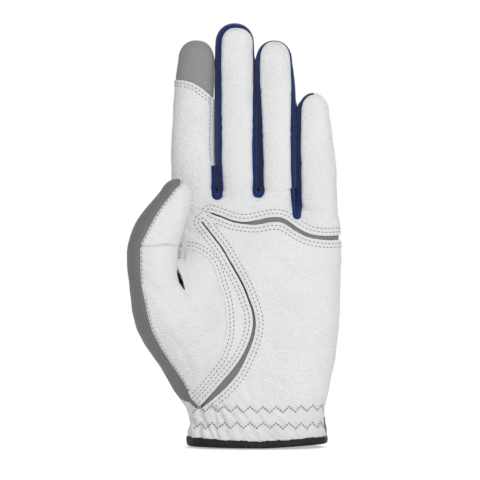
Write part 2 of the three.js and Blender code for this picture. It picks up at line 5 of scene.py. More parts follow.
import bpy
import numpy as np
from bpy.props import FloatProperty, FloatVectorProperty, PointerProperty
from bpy.types import Operator, Panel, PropertyGroup
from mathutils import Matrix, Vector


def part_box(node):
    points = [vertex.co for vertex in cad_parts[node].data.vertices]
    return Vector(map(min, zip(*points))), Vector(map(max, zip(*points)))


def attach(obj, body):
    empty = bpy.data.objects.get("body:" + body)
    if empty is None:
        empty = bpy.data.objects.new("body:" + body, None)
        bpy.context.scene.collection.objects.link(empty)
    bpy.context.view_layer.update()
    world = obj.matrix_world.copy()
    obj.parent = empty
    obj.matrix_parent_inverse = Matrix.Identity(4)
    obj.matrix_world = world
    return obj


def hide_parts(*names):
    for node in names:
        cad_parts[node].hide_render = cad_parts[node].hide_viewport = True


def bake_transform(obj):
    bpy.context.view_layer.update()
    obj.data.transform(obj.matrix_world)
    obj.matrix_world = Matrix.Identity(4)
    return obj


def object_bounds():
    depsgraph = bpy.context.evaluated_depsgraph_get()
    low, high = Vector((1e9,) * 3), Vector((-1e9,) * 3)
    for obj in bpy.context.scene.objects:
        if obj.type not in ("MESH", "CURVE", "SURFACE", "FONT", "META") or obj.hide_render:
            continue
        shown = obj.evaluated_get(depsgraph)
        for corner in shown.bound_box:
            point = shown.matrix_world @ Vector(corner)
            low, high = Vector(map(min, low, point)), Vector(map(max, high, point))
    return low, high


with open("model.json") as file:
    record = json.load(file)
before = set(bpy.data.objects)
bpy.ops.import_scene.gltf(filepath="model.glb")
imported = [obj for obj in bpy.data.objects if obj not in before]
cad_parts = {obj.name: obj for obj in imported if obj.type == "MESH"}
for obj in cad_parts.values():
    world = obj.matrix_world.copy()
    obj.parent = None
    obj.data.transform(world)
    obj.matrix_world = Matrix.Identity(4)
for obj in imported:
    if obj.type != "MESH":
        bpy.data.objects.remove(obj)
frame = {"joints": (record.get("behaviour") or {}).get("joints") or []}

bl_info = {
    "name": "Golf glove",
    "version": (1, 0, 0),
    "blender": (4, 5, 0),
    "location": "View3D > Sidebar > Glove",
    "description": "A sewn leather golf glove for the left hand on its packed frame",
    "category": "Object",
}

CAD_BOX = [[round(c, 6) for c in corner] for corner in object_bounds()]
MM = 0.001


def linear(text):
    """Turns an sRGB hex colour into the linear colour that Blender's sockets take."""
    parts = [int(text[i : i + 2], 16) / 255 for i in (1, 3, 5)]
    return tuple(c / 12.92 if c <= 0.04045 else ((c + 0.055) / 1.055) ** 2.4 for c in parts) + (1.0,)


def box_mm(node):
    low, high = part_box(node)
    return np.array(low) / MM, np.array(high) / MM


def hinge_mm(name):
    return np.array(next(j for j in frame["joints"] if j["name"] == name)["pos_m"]) / MM


# ---------------------------------------------------------------- sizes and colours that a user would change
def size(name, text, default, low=0.01, high=50.0):
    return FloatProperty(name=name, description=text, default=default, min=low, max=high)


def colour(name, text, default):
    return FloatVectorProperty(
        name=name, description=text, subtype="COLOR", size=4, min=0, max=1, default=linear(default)
    )


class GloveSizes(PropertyGroup):
    leather: size("Leather", "Thickness of the leather and the knit, in millimetres", 0.8)
    seam_depth: size("Seam depth", "How far a turned seam sinks, in millimetres", 0.65)
    overlay_step: size("Overlay step", "How far a lapped edge stands over its neighbour, in millimetres", 0.55)
    stitch: size("Stitch", "Length of a stitch, in millimetres", 1.35)
    stitch_gap: size("Stitch gap", "Length between two stitches, in millimetres", 0.75)
    thread: size("Thread", "Width of the sewing thread, in millimetres", 0.42)
    gather: size("Gather", "Depth of the gathers over the elastic, in millimetres", 0.95)
    grain: size("Grain", "Width of a pebble of the leather's grain, in millimetres", 0.9)
    wale: size("Wale", "Distance between two wales of the knit, in millimetres", 0.55)


class GloveColours(PropertyGroup):
    leather: colour("Leather", "White sheep leather", "#e9e9e8")
    # painted shade: the leather material darkens towards this tone in the hollows of its grain, and in random patches
    leather_shade: colour("Leather shade", "The leather in the hollows of its grain", "#d9dadc")
    grey_knit: colour("Grey knit", "Stretch knit of the index fingertip", "#979898")
    # painted shade: a darker copy of the grey knit for the flex lines, which sit sunk between the leather's edges
    flex_knit: colour("Flex line knit", "Stretch knit sunk between the leather's edges", "#848585")
    dark_knit: colour("Dark grey knit", "Stretch knit of the thumb's back and side", "#7e7f80")
    blue_knit: colour("Blue knit", "Stretch knit between the fingers", "#16367a")
    binding: colour("Binding", "Bound edge of the cuff", "#1c1e20")
    # painted shade: the thread is drawn mid grey, darker than it is, so that its stitches carry the shade of their
    # needle holes
    thread: colour("Thread", "Sewing thread", "#8d8f91")
    white_thread: colour("White thread", "Thread of the zigzag rows", "#d9dadb")
    # painted shade: the colour of dark discs that stand for the shade inside the needle holes
    holes: colour("Needle holes", "The mouths of the needle holes", "#4c4e50")
    elastic: colour("Elastic", "Elastic inside the cuff", "#d8d8d4")
    hook: colour("Hook and loop", "Hook and loop of the closure", "#b9bbbd")


# ---------------------------------------------------------------- lines and tables
def curve(points, step=0.8):
    """A smooth line through a few points, as close points."""
    p = np.array(points, float)
    p = np.vstack([2 * p[0] - p[1], p, 2 * p[-1] - p[-2]])
    out = []
    for i in range(1, len(p) - 2):
        n = max(2, int(np.linalg.norm(p[i + 1] - p[i]) / step))
        t = np.linspace(0, 1, n, endpoint=False)[:, None]
        a, b, c, d = p[i - 1 : i + 3]
        out.append(
            0.5 * (2 * b + (c - a) * t + (2 * a - 5 * b + 4 * c - d) * t**2 + (3 * b - a - 3 * c + d) * t**3)
        )
    return np.vstack(out + [p[-2:-1]])


def table(rows, z):
    """The value at height z of rows of (height, value), smoothed between them."""
    line = curve(rows, 0.5)
    return np.interp(z, np.maximum.accumulate(line[:, 0]), line[:, 1])


def nearest(line, x, z):
    """Distance in the palm's plane to a line, positive on its left, and how far along the line that is."""
    a, b = line[:-1], line[1:]
    d = b - a
    long = np.einsum("ij,ij->i", d, d)
    run = np.concatenate([[0], np.cumsum(np.sqrt(long))])
    best, side, along = np.full(len(x), 1e9), np.ones(len(x)), np.zeros(len(x))
    for i in range(len(a)):
        u, w = x - a[i, 0], z - a[i, 1]
        t = np.clip((u * d[i, 0] + w * d[i, 1]) / long[i], 0, 1)
        r = np.hypot(u - t * d[i, 0], w - t * d[i, 1])
        near = r < best - 1e-9
        best[near] = r[near]
        side[near] = np.sign(d[i, 0] * w[near] - d[i, 1] * u[near] + 1e-12)
        along[near] = run[i] + t[near] * math.sqrt(long[i])
    return best * side, along


def unit(v):
    """Directions, one to a row, brought to length one."""
    return v / np.linalg.norm(v, axis=-1)[..., None]


def run_along(line):
    """How far along a line each of its points lies."""
    return np.concatenate([[0], np.cumsum(np.linalg.norm(np.diff(line, axis=0), axis=1))])


def edges_of(faces):
    return np.vstack([faces[:, [0, 1]], faces[:, [1, 2]], faces[:, [2, 0]]])


def bell(distance, width):
    """A bell over a distance: 1 in the middle, and nothing a few widths away."""
    return np.exp(-((distance / width) ** 2))


# ---------------------------------------------------------------- the form of the hand, in millimetres
HAND = {  # height, thumb side, little finger side, half depth
    "left": [(-9, -34), (0, -34.1), (8, -35.2), (14, -33.6), (20, -34), (32, -35.5), (48, -37), (64, -38.5),
             (82, -39.6), (100, -41), (113, -42.4), (140, -43)],
    "right": [(-9, 34), (0, 34.3), (6, 34.8), (14, 34), (20, 34.6), (28, 36.4), (36, 37.9), (45, 39.6), (56, 41),
              (68, 41.7), (82, 42.1), (100, 41.9), (113, 41.1), (140, 40.3)],
    "depth": [(-9, 21), (0, 21), (10, 20), (20, 19), (32, 18), (48, 17.2), (64, 16.6), (82, 16), (100, 14.6),
              (112, 12.4), (122, 10.3), (132, 9), (140, 8.8)],
}
HINGE = {name: hinge_mm(name + "_bend") for name in ("index", "middle", "ring", "little")}
# outline at its heights, height where the round tip starts, half depth, and where the finger leaves the hand
FINGERS = {
    "index": {"left": [(95, -42.4), (118, -42.6), (130, -42.9), (152, -43), (162, -42.4), (176, -41.6), (186, -40.9),
                       (194, -39.4)],
              "right": [(95, -21), (118, -20.5), (130, -20.2), (137, -20.4), (142, -21.2), (150, -21.6), (178, -21.5),
                        (194, -21.4)],
              "round": 194, "depth": 8.8, "leave": 129.5},
    "middle": {"left": [(95, -19.2), (118, -19.1), (130, -19.2), (137, -19.9), (142, -20.8), (150, -21), (195, -21.1),
                        (203, -20.8)],
               "right": [(95, -0.6), (118, -0.1), (130, 0.2), (144, 0.3), (160, 0.1), (178, -0.8), (190, -1.1),
                         (203, -1.5)],
               "round": 202, "depth": 9.0, "leave": 129.5},
    "ring": {"left": [(95, 1.8), (118, 1.4), (130, 1.3), (150, 1.2), (165, 0.5), (178, -0.5), (190, -0.75),
                      (194, -0.5)],
             "right": [(95, 19), (112, 19.4), (118, 19.7), (130, 19.6), (150, 19.3), (165, 19.6), (174, 19.6),
                       (184, 19), (194, 17.6)],
             "round": 193, "depth": 8.6, "leave": 129.5},
    "little": {"left": [(95, 20.9), (112, 20.6), (122, 20.3), (140, 20.0), (155, 20.1), (166, 20.6), (168, 20.9)],
               "right": [(95, 41), (112, 40.8), (120, 40.5), (136, 39.9), (144, 39.4), (152, 38.4), (160, 37.4),
                         (168, 36)],
               "round": 167.5, "depth": 7.8, "leave": 120.5},
}
for _name, _finger in FINGERS.items():
    _finger["tip"] = box_mm("index_tip_cap" if _name == "index" else _name + "_fourchette")[1][2]
FINGERS["middle"]["tip"] = CAD_BOX[1][2] / MM
FINGERS["index"]["tip"] += 0.7
FINGERS["ring"]["tip"] += 0.3
MOUND = np.array([[-30.0, -8.5, 78.0], [15.0, 12.5, 20.0]])  # the thenar's middle and half sizes
CURL = 4.0  # how far a fingertip leans to the palm side
# how high the palm's form reaches: in the middle, how it falls to each side, and never below the least
CROTCH = {"middle": 129.5, "index": 0.4, "little": 10.3, "at": 22.0, "least": 113.5}
THUMB = np.array([  # middle line, half width, half depth
    [-14, -2, 22, 10, 10], [-24, -4.5, 36.5, 18.6, 12.8], [-33, -8, 50, 18.7, 15.5], [-44, -14, 66, 17.7, 15.5],
    [-51, -19, 84, 13.1, 12.5], [-51.6, -21.5, 100, 12.6, 11], [-46.9, -23, 112, 11.3, 10],
    [-40.3, -23.5, 123.8, 8.6, 8.7]])
THUMB_TIP = np.array([-37.4, -23.5, 133.4])
THUMB_LEAVE = 81.0  # the thumb's own leather and knit start at this height


def smooth_min(a, b, k):
    h = np.maximum(k - np.abs(a - b), 0) / k
    return np.minimum(a, b) - h * h * k / 4


FINGER_POWER, PALM_POWER = 2.15, 2.3  # how full the cross sections are: 2 is an ellipse, more is squarer


def finger_frame(name, p):
    """Places as shares of a finger: to its side, to its back, and up its round tip."""
    f = FINGERS[name]
    x, y, z = p.T
    at = np.minimum(z, f["round"])
    left, right = table(f["left"], at), table(f["right"], at)
    middle, half = (left + right) / 2, (right - left) / 2
    lean, depth = finger_lean(name, z)
    return (x - middle) / half, (y - lean) / depth, np.maximum(z - f["round"], 0) / (f["tip"] - f["round"])


def finger_field(name, p):
    u, v, over = finger_frame(name, p)
    r = (np.abs(u) ** FINGER_POWER + np.abs(v) ** FINGER_POWER + over**FINGER_POWER) ** (1 / FINGER_POWER)
    return (r - 1) * 9


def finger_lean(name, z):
    f, hinge = FINGERS[name], HINGE[name][2]
    share = np.maximum(0, (np.minimum(z, f["tip"]) - hinge) / (f["tip"] - hinge))
    return -CURL * share**2, f["depth"] * (1 - 0.12 * share)


def palm_field(p):
    x, y, z = p.T
    at = np.clip(z, -9, 138)
    left, right, depth = (table(HAND[k], at) for k in ("left", "right", "depth"))
    middle, half = (left + right) / 2, (right - left) / 2
    u, v = (x - middle) / half, y / depth
    r = (np.abs(u) ** PALM_POWER + np.abs(v) ** PALM_POWER) ** (1 / PALM_POWER)
    across = (r - 1) * np.hypot(x - middle, y) / np.maximum(r, 1e-3)
    fall = np.where(x < 0, CROTCH["index"], CROTCH["little"])
    top = np.maximum(CROTCH["least"], CROTCH["middle"] - fall * (x / CROTCH["at"]) ** 2)
    share = np.sqrt(np.clip(1 - v * v, 0, 1))
    over = z - (top - 9 * (1 - share))
    return -smooth_min(-across, -over, 4)


@lru_cache(None)
def thumb_line():
    return curve(THUMB, 2.0)


@lru_cache(None)
def thumb_ahead():
    line = thumb_line()[:, :3]
    ahead = unit(np.gradient(line, axis=0))
    out = THUMB_TIP - line[-1]
    for i, share in zip((-4, -3, -2, -1), (0.25, 0.5, 0.75, 1.0)):
        ahead[i] = ahead[i] * (1 - share) + out / np.linalg.norm(out) * share
    return ahead


def thumb_place(p):
    """Offsets from the thumb's middle line for each point, to the side, to the back and along, and the sizes there."""
    line = thumb_line()
    best, which, share = np.full(len(p), 1e9), np.zeros(len(p), int), np.zeros(len(p))
    for i in range(len(line) - 1):
        d = line[i + 1, :3] - line[i, :3]
        q = p - line[i, :3]
        t = np.clip(q @ d / (d @ d), 0, 1)
        r = ((q - t[:, None] * d) ** 2).sum(1)
        near = r < best
        best[near], which[near], share[near] = r[near], i, t[near]
    t = share[:, None]
    at = line[which] * (1 - t) + line[which + 1] * t
    ahead = thumb_ahead()[which] * (1 - t) + thumb_ahead()[which + 1] * t
    ahead = unit(ahead)
    back = unit(np.cross(ahead, [1, 0, 0]))
    side = np.cross(back, ahead)
    q = p - at[:, :3]
    last = (which == len(line) - 2) & (share > 0.999)
    return [np.einsum("ij,ij->i", q, v) for v in (side, back, ahead)], at, last


def thumb_field(p):
    (u, v, w), at, last = thumb_place(p)
    over = np.where(last, np.maximum(w, 0), 0) / np.linalg.norm(THUMB_TIP - thumb_line()[-1, :3])
    r = np.sqrt((u / at[:, 3]) ** 2 + (v / at[:, 4]) ** 2 + over**2)
    return (r - 1) * np.sqrt(at[:, 3] * at[:, 4])


def hand_field(p):
    """About the distance to the outside of the glove, negative inside, without the fingers above their roots."""
    palm = palm_field(p)
    fingers = np.full(len(p), 50.0)
    up = p[:, 2] > 92
    for name in FINGERS:
        fingers[up] = np.minimum(fingers[up], finger_field(name, p[up]))
    hand = smooth_min(palm, fingers, 3.5)
    round_it = (np.linalg.norm((p - MOUND[0]) / MOUND[1], axis=1) - 1) * 13
    hand = np.where(p[:, 0] < 0, smooth_min(hand, round_it, 7), hand)
    near = (p[:, 0] < 8) & (p[:, 2] > 12)
    thumb = thumb_field(p[near])
    k = np.interp(p[near][:, 2], [60, 82, 92, 101], [11, 9, 7, 2.0])
    hand[near] = smooth_min(hand[near], thumb, k)
    return hand


def slope(field, p, h=0.15):
    g = np.empty_like(p)
    for k in range(3):
        step = np.zeros(3)
        step[k] = h
        g[:, k] = (field(p + step) - field(p - step)) / (2 * h)
    return g


def settle(field, p, times=2):
    """Moves points onto the surface, and gives its outward directions there."""
    for _ in range(times):
        g = slope(field, p)
        p = p - g * (field(p) / np.maximum((g * g).sum(1), 0.2))[:, None]
    return p, unit(slope(field, p))


# ---------------------------------------------------------------- skins: triangles on the form, cut along seams
def surface_net(field, low, high, pitch):
    """Triangles where a field changes sign on a grid, open where the grid ends."""
    axes = [np.arange(low[k], high[k] + pitch, pitch) for k in range(3)]
    shape = tuple(len(a) for a in axes)
    grid = np.stack(np.meshgrid(*axes, indexing="ij"), -1).reshape(-1, 3)
    value = np.concatenate([field(part) for part in np.array_split(grid, 12)]).reshape(shape)
    inside = value < 0
    cells = tuple(n - 1 for n in shape)
    total, count = np.zeros(cells + (3,)), np.zeros(cells)
    corner = np.stack(np.meshgrid(*[a[:-1] for a in axes], indexing="ij"), -1)
    crossing = {}
    for k in range(3):
        near = [slice(None)] * 3
        far = [slice(None)] * 3
        near[k], far[k] = slice(0, -1), slice(1, None)
        a, b = value[tuple(near)], value[tuple(far)]
        cross = inside[tuple(near)] != inside[tuple(far)]
        t = np.where(cross, a / np.where(cross, a - b, 1), 0)
        crossing[k] = cross
        i, j = [m for m in range(3) if m != k]
        for di in (0, 1):
            for dj in (0, 1):
                cut_ = [slice(None)] * 3
                cut_[i], cut_[j] = slice(di, cells[i] + di), slice(dj, cells[j] + dj)
                c, s = cross[tuple(cut_)], t[tuple(cut_)]
                at = corner.copy()
                at[..., i] += di * pitch
                at[..., j] += dj * pitch
                at[..., k] += s * pitch
                total[c] += at[c]
                count[c] += 1
    used = count > 0
    index = np.full(cells, -1)
    index[used] = np.arange(used.sum())
    points = total[used] / count[used][:, None]
    quads = []
    for k in range(3):
        i, j = (k + 1) % 3, (k + 2) % 3
        where = np.argwhere(crossing[k])
        keep = (where[:, i] > 0) & (where[:, j] > 0) & (where[:, i] < cells[i]) & (where[:, j] < cells[j])
        where = where[keep]
        ring = []
        for di, dj in ((1, 1), (0, 1), (0, 0), (1, 0)):
            at = where.copy()
            at[:, i] -= di
            at[:, j] -= dj
            ring.append(index[tuple(at.T)])
        ring = np.stack(ring, 1)
        flip = ~inside[tuple(where.T)]
        ring[flip] = ring[flip][:, ::-1]
        quads.append(ring)
    quads = np.vstack(quads)
    a, b, c, d = quads.T
    short = np.linalg.norm(points[a] - points[c], axis=1) < np.linalg.norm(points[b] - points[d], axis=1)
    faces = np.vstack([
        np.stack([a, b, c], 1)[short], np.stack([a, c, d], 1)[short],
        np.stack([a, b, d], 1)[~short], np.stack([b, c, d], 1)[~short]])
    return points, faces


def relax(points, faces, times=3):
    """Evens out the triangles; the points on open edges stay."""
    edges = edges_of(faces)
    key, count = np.unique(np.sort(edges, 1), axis=0, return_counts=True)
    fixed = np.zeros(len(points), bool)
    fixed[key[count == 1].ravel()] = True
    for _ in range(times):
        total, number = np.zeros_like(points), np.zeros(len(points))
        for i, j in ((0, 1), (1, 0)):
            np.add.at(total, key[:, i], points[key[:, j]])
            np.add.at(number, key[:, i], 1)
        moved = total / np.maximum(number, 1)[:, None]
        points = np.where(fixed[:, None], points, points * 0.4 + moved * 0.6)
    return points


SNAP = 0.1  # a point this near a line counts as on it


def split(p, n, faces, s, value):
    """Cuts triangles where value is zero, so that the line becomes edges. s holds more values of each point."""
    value = np.where(np.abs(value) < SNAP, 0, value)
    side = np.sign(value).astype(int)
    edges = np.sort(edges_of(faces), 1)
    crossed = side[edges[:, 0]] * side[edges[:, 1]] < 0
    if not crossed.any():
        return p, n, faces, s
    key, back = np.unique(edges[crossed], axis=0, return_inverse=True)
    a, b = key.T
    t = (value[a] / (value[a] - value[b]))[:, None]
    new_p, new_n = p[a] * (1 - t) + p[b] * t, n[a] * (1 - t) + n[b] * t
    s = {k: np.concatenate([v, v[a] * (1 - t[:, 0]) + v[b] * t[:, 0]]) for k, v in s.items()}
    made = np.full(len(edges), -1)
    made[crossed] = len(p) + back.ravel()
    m = made.reshape(3, -1).T  # the new point on each triangle's edges 01, 12, 20
    number = (m >= 0).sum(1)
    out = [faces[number == 0]]
    for k in range(3):
        order = [k, (k + 1) % 3, (k + 2) % 3]
        one = (number == 1) & (m[:, order[1]] >= 0)
        a, b, c = faces[one][:, order].T
        e = m[one, order[1]]
        out += [np.stack([a, b, e], 1), np.stack([a, e, c], 1)]
        two = (number == 2) & (m[:, order[1]] < 0)
        a, b, c = faces[two][:, order].T
        e, g = m[two, order[0]], m[two, order[2]]
        out += [np.stack([a, e, g], 1), np.stack([e, b, c], 1), np.stack([e, c, g], 1)]
    return np.vstack([p, new_p]), np.vstack([n, unit(new_n)]), np.vstack(out), s


def inside_of(value, faces):
    """For each triangle, the mean of a value at its corners, where a corner on the line counts as zero."""
    value = np.where(np.abs(value) < SNAP * 1.5, 0, value)
    return value[faces].mean(1)


def sub_skin(p, n, faces, keep):
    faces = faces[keep]
    used = np.unique(faces)
    new = np.full(len(p), -1)
    new[used] = np.arange(len(used))
    return p[used], n[used], new[faces], used


def sew(name, p, n, faces, material, rise):
    """A closed panel of leather or knit from a skin: its outside, its inside and the cut edges between them."""
    thick = bpy.context.scene.glove_sizes.leather
    rise = rise[:, None]
    points = np.vstack([p + n * rise, p + n * (rise - thick)])
    edges = edges_of(faces)
    both = {tuple(e) for e in edges.tolist()}
    rim = np.array([e for e in edges.tolist() if (e[1], e[0]) not in both], int).reshape(-1, 2)
    k = len(p)
    walls = np.vstack([np.stack([rim[:, 1], rim[:, 0], rim[:, 0] + k], 1),
                       np.stack([rim[:, 1], rim[:, 0] + k, rim[:, 1] + k], 1)])
    return mesh_piece(name, points, np.vstack([faces, faces[:, ::-1] + k, walls]), material)


def add_object(name, data):
    made = bpy.data.objects.new(name, data)
    bpy.context.scene.collection.objects.link(made)
    return made


def mesh_piece(name, points, faces, material, sharp=55):
    mesh = bpy.data.meshes.new(name)
    mesh.from_pydata((np.asarray(points) * MM).tolist(), [], faces.tolist() if isinstance(faces, np.ndarray) else faces)
    mesh.polygons.foreach_set("use_smooth", [True] * len(mesh.polygons))
    mesh.set_sharp_from_angle(angle=math.radians(sharp))
    mesh.materials.append(material)
    return add_object(name, mesh)


def isolines(p, n, faces, value, level=0.0):
    """The lines on a skin where a value passes a level, as lists of points and directions."""
    v = value - level + 1e-7
    s = v > 0
    rows = faces[(s[faces].sum(1) % 3) != 0]
    links, places = {}, {}
    for tri in rows.tolist():
        keys = []
        for i, j in ((0, 1), (1, 2), (2, 0)):
            a, b = tri[i], tri[j]
            if s[a] != s[b]:
                key = (min(a, b), max(a, b))
                if key not in places:
                    t = v[key[0]] / (v[key[0]] - v[key[1]])
                    places[key] = (p[key[0]] * (1 - t) + p[key[1]] * t, n[key[0]] * (1 - t) + n[key[1]] * t)
                keys.append(key)
        links.setdefault(keys[0], []).append(keys[1])
        links.setdefault(keys[1], []).append(keys[0])
    seen = set()
    ends = [k for k in links if len(links[k]) == 1] + list(links)
    lines = []
    for start in ends:
        if start in seen:
            continue
        chain, at = [start], start
        seen.add(start)
        while True:
            step = [k for k in links[at] if k not in seen]
            if not step:
                break
            at = step[0]
            seen.add(at)
            chain.append(at)
        if len(chain) > 3:
            lines.append((np.array([places[k][0] for k in chain]), np.array([places[k][1] for k in chain])))
    return lines


def resample(line, ups, step):
    """Places every step along a line, smoothed a little first."""
    for _ in range(4):
        line = np.vstack([line[:1], (line[:-2] + 2 * line[1:-1] + line[2:]) / 4, line[-1:]])
    run = run_along(line)
    at = np.arange(0, run[-1], step)
    return (np.stack([np.interp(at, run, line[:, k]) for k in range(3)], 1),
            np.stack([np.interp(at, run, ups[:, k]) for k in range(3)], 1))


def thread_bits(starts, ends, ups, width, sink=0.16, sides=6):
    """Short stitches between needle holes: each bows up from one hole and goes down the next."""
    shape = [(0.0, -sink, 0.55), (0.14, 0.02, 1.0), (0.5, 0.1, 1.05), (0.86, 0.02, 1.0), (1.0, -sink, 0.55)]
    axis = ends - starts
    ahead = unit(axis)
    side = unit(np.cross(ahead, ups))
    up = np.cross(side, ahead)
    turn = np.linspace(0, 2 * np.pi, sides, endpoint=False)
    rings = []
    for along, lift, share in shape:
        middle = starts + axis * along + up * lift
        ring = [middle + side * math.cos(a) * width / 2 * share + up * math.sin(a) * width / 2 * share for a in turn]
        rings.append(np.stack(ring, 1))
    points = np.stack(rings, 1).reshape(-1, 3)
    each = len(shape) * sides
    one = []
    for r in range(len(shape) - 1):
        for i in range(sides):
            a, b = r * sides + i, r * sides + (i + 1) % sides
            one.append((a, a + sides, b + sides, b))
    caps = [tuple(range(sides)), tuple(range(each - 1, each - sides - 1, -1))]
    return points, [tuple(v + k * each for v in f) for k in range(len(starts)) for f in one + caps]


def merge(parts):
    points, faces, k = [], [], 0
    for p, f in parts:
        points.append(p)
        faces += [tuple(v + k for v in face) for face in f]
        k += len(p)
    return np.vstack(points), faces


def stitch_rows(lines, keep=None):
    """Stitches along lines on a skin."""
    sizes = bpy.context.scene.glove_sizes
    parts = []
    for line, ups in lines:
        p, up = resample(line, ups, (sizes.stitch + sizes.stitch_gap) / 8)
        for i in range(0, len(p) - 6, 8):
            a, b, u = p[i], p[i + 5], up[i + 2]
            if keep is None or keep((a + b) / 2, u):
                parts.append((a, b, u))
    if not parts:
        return []
    a, b, u = (np.array([q[k] for q in parts]) for k in range(3))
    return [thread_bits(a, b, unit(u), sizes.thread)]


def stitch_piece(name, parts):
    return mesh_piece(name, *merge(parts), cloth("thread"))


# ---------------------------------------------------------------- seams, in the plane of the palm: x and z
CREASE = curve([(-23.6, 117.2), (-17.5, 115), (-12.5, 113), (-6, 112), (0.5, 112.4), (6.5, 113.6), (11.5, 113.6),
                (15, 112.2), (19, 109.4), (24, 106.6), (29, 105.1), (36.5, 104.5), (46, 105.2)])
THENAR = curve([(-27.5, 112.5), (-22.5, 106), (-17.5, 99.5), (-12.5, 91), (-7, 81), (-4, 73.5), (-2, 67.5), (-1.4, 61),
                (-3, 53.5), (-6.2, 46), (-10.6, 38.5), (-17, 31), (-25.3, 22.7), (-29.6, 18.8)])
HOLE = curve([(-40, 97), (-35.5, 98.6), (-32, 98.4), (-28.5, 97), (-24.5, 94), (-21.5, 89.5), (-19.3, 82.5),
              (-16.7, 74.5), (-15.5, 66.5), (-15.6, 56), (-19.2, 45.5), (-23.5, 39.8), (-30.5, 31.5), (-34, 28),
              (-40, 22)])
EDGE = curve([(-30, 137), (-36, 131.8), (-39.6, 129.6), (-43.8, 124.6), (-47.8, 119.2), (-52, 112.3), (-55.3, 106),
              (-57.6, 101), (-58, 92.5), (-57.6, 84), (-56.5, 78), (-54.8, 69), (-52.5, 59.5), (-48.5, 51),
              (-43.5, 42.5), (-37.5, 33.5), (-33, 25.5), (-29.5, 21)])
BACK_EDGE = curve([(-52, 88), (-42, 82), (-35, 72), (-30.5, 58), (-28.5, 44), (-29.5, 30), (-34, 19)])
FAR = 30.0  # millimetres: stands for nowhere near a seam
# middle, foot, half width and slant of each blue U
WEBS = [(-19.95, 123.6, 2.65, 0.0), (0.8, 124.75, 2.8, 0.0), (20.25, 114.0, 2.25, -0.075)]
WEB_BULGE = 2.1  # how far the knit inside a U stands out
# the back's slit: where it is, its half width, its top and the width of its edging
SLIT = {"x": 6.0, "half": 4.0, "top": 60.0, "edging": 2.2}
KNUCKLE = (box_mm("knuckle_stretch_panel")[0][2], box_mm("knuckle_stretch_panel")[1][2])
CUFF_TOP = 19.2  # the front of the cuff ends here and the palm starts


def rim_low(x, y):
    """Height of the binding's lower edge: the mouth dips at the palm and rises at the sides."""
    side = x / np.hypot(x, y)
    return 1.5 * np.maximum(side, 0) ** 2 + 0.3 * np.maximum(-side, 0) ** 2


def rim_high(x, y):
    side = x / np.hypot(x, y)
    return 3.6 + 1.7 * np.maximum(side, 0) ** 2 + 1.4 * np.maximum(-side, 0) ** 2


def leave_height(x):
    return np.where(x < 21.3, FINGERS["index"]["leave"], FINGERS["little"]["leave"])


def u_shape(x, z, web):
    middle, foot, half, slant = web
    up = np.maximum(z - foot - half, 0) * slant / 2
    middle, half = middle + up, half - up
    return np.hypot(x - middle, np.minimum(z - (foot + half), 0)) - half


def slit_shape(x, z):
    half = SLIT["half"] * np.interp(z, [0, SLIT["top"] - 10], [0.62, 1])
    return np.where(z < SLIT["top"] - SLIT["half"], np.abs(x - SLIT["x"]) - half,
                    np.hypot(x - SLIT["x"], z - SLIT["top"] + SLIT["half"]) - SLIT["half"])


def strip_width(kind, along):
    """Half width of the grey knit that shows in a flex line."""
    if kind == "crease":
        return np.interp(along, [0, 6, 18, 24, 36, 42, 55, 80], [0.3, 0.45, 0.5, 1.2, 1.3, 1.1, 1.0, 1.3])
    return np.interp(along, [0, 30, 50, 62, 74, 84, 92, 104, 110], [0.35, 0.5, 0.55, 0.85, 1.1, 1.75, 1.8, 1.0, 0.5])


def seam_values(p, n):
    """Every scalar whose zero is a seam, at each point of the hand's skin."""
    x, y, z = p.T
    crease, crease_run = nearest(CREASE, x, z)
    thenar, thenar_run = nearest(THENAR, x, z)
    edge, _ = nearest(EDGE, x, z)
    back_edge, _ = nearest(BACK_EDGE, x, z)
    hole, _ = nearest(HOLE, x, z)
    thumb, palm = np.full(len(p), 20.0), palm_field(p)
    for name in FINGERS:
        palm = np.minimum(palm, finger_field(name, p))
    near = x < -10
    thumb[near] = thumb_field(p[near])
    (u, v, _), _, _ = thumb_place(p)
    web = np.min([u_shape(x, z, w) for w in WEBS], 0)
    web_middle = np.min([np.abs(x - w[0] - (z - w[1]) * w[3] / 2) for w in WEBS], 0) - 0.45
    front = y - 3
    quirk, quirk_run = nearest(curve(QUIRK), x, z)
    lines = np.minimum(np.abs(crease) - strip_width("crease", crease_run),
                       np.abs(thenar) - strip_width("thenar", thenar_run))
    return {
        "web_middle": web_middle, "lines": lines,
        "x": x, "y": y, "z": z, "leave": z - leave_height(x), "rim": z - 1.3 - rim_low(x, y), "front": front,
        "cuff": z - CUFF_TOP - np.interp(x, [-38, -31], [4.6, 1.2]) * (x < -31),
        "crease": crease, "crease_half": strip_width("crease", crease_run), "thenar": thenar,
        "thenar_half": strip_width("thenar", thenar_run), "hole": hole, "edge": edge, "back_edge": back_edge,
        "facing": -n[:, 1] * 10, "thumb": palm - thumb, "web": np.maximum(web, y - 5),
        "tube": np.maximum(np.minimum(-v, edge), np.minimum(u, 9 - v)),
        "fold": np.where(z > THUMB_LEAVE, nearest(curve(THUMB_FOLD), x, z)[0], FAR), "quirk": quirk,
        "quirk_gap": np.abs(quirk) - 0.95 * np.sin(np.pi * np.clip(quirk_run / 13.8, 0, 1)),
        "slit": slit_shape(x, z), "knuckle_low": z - KNUCKLE[0], "knuckle_high": z - KNUCKLE[1],
    }


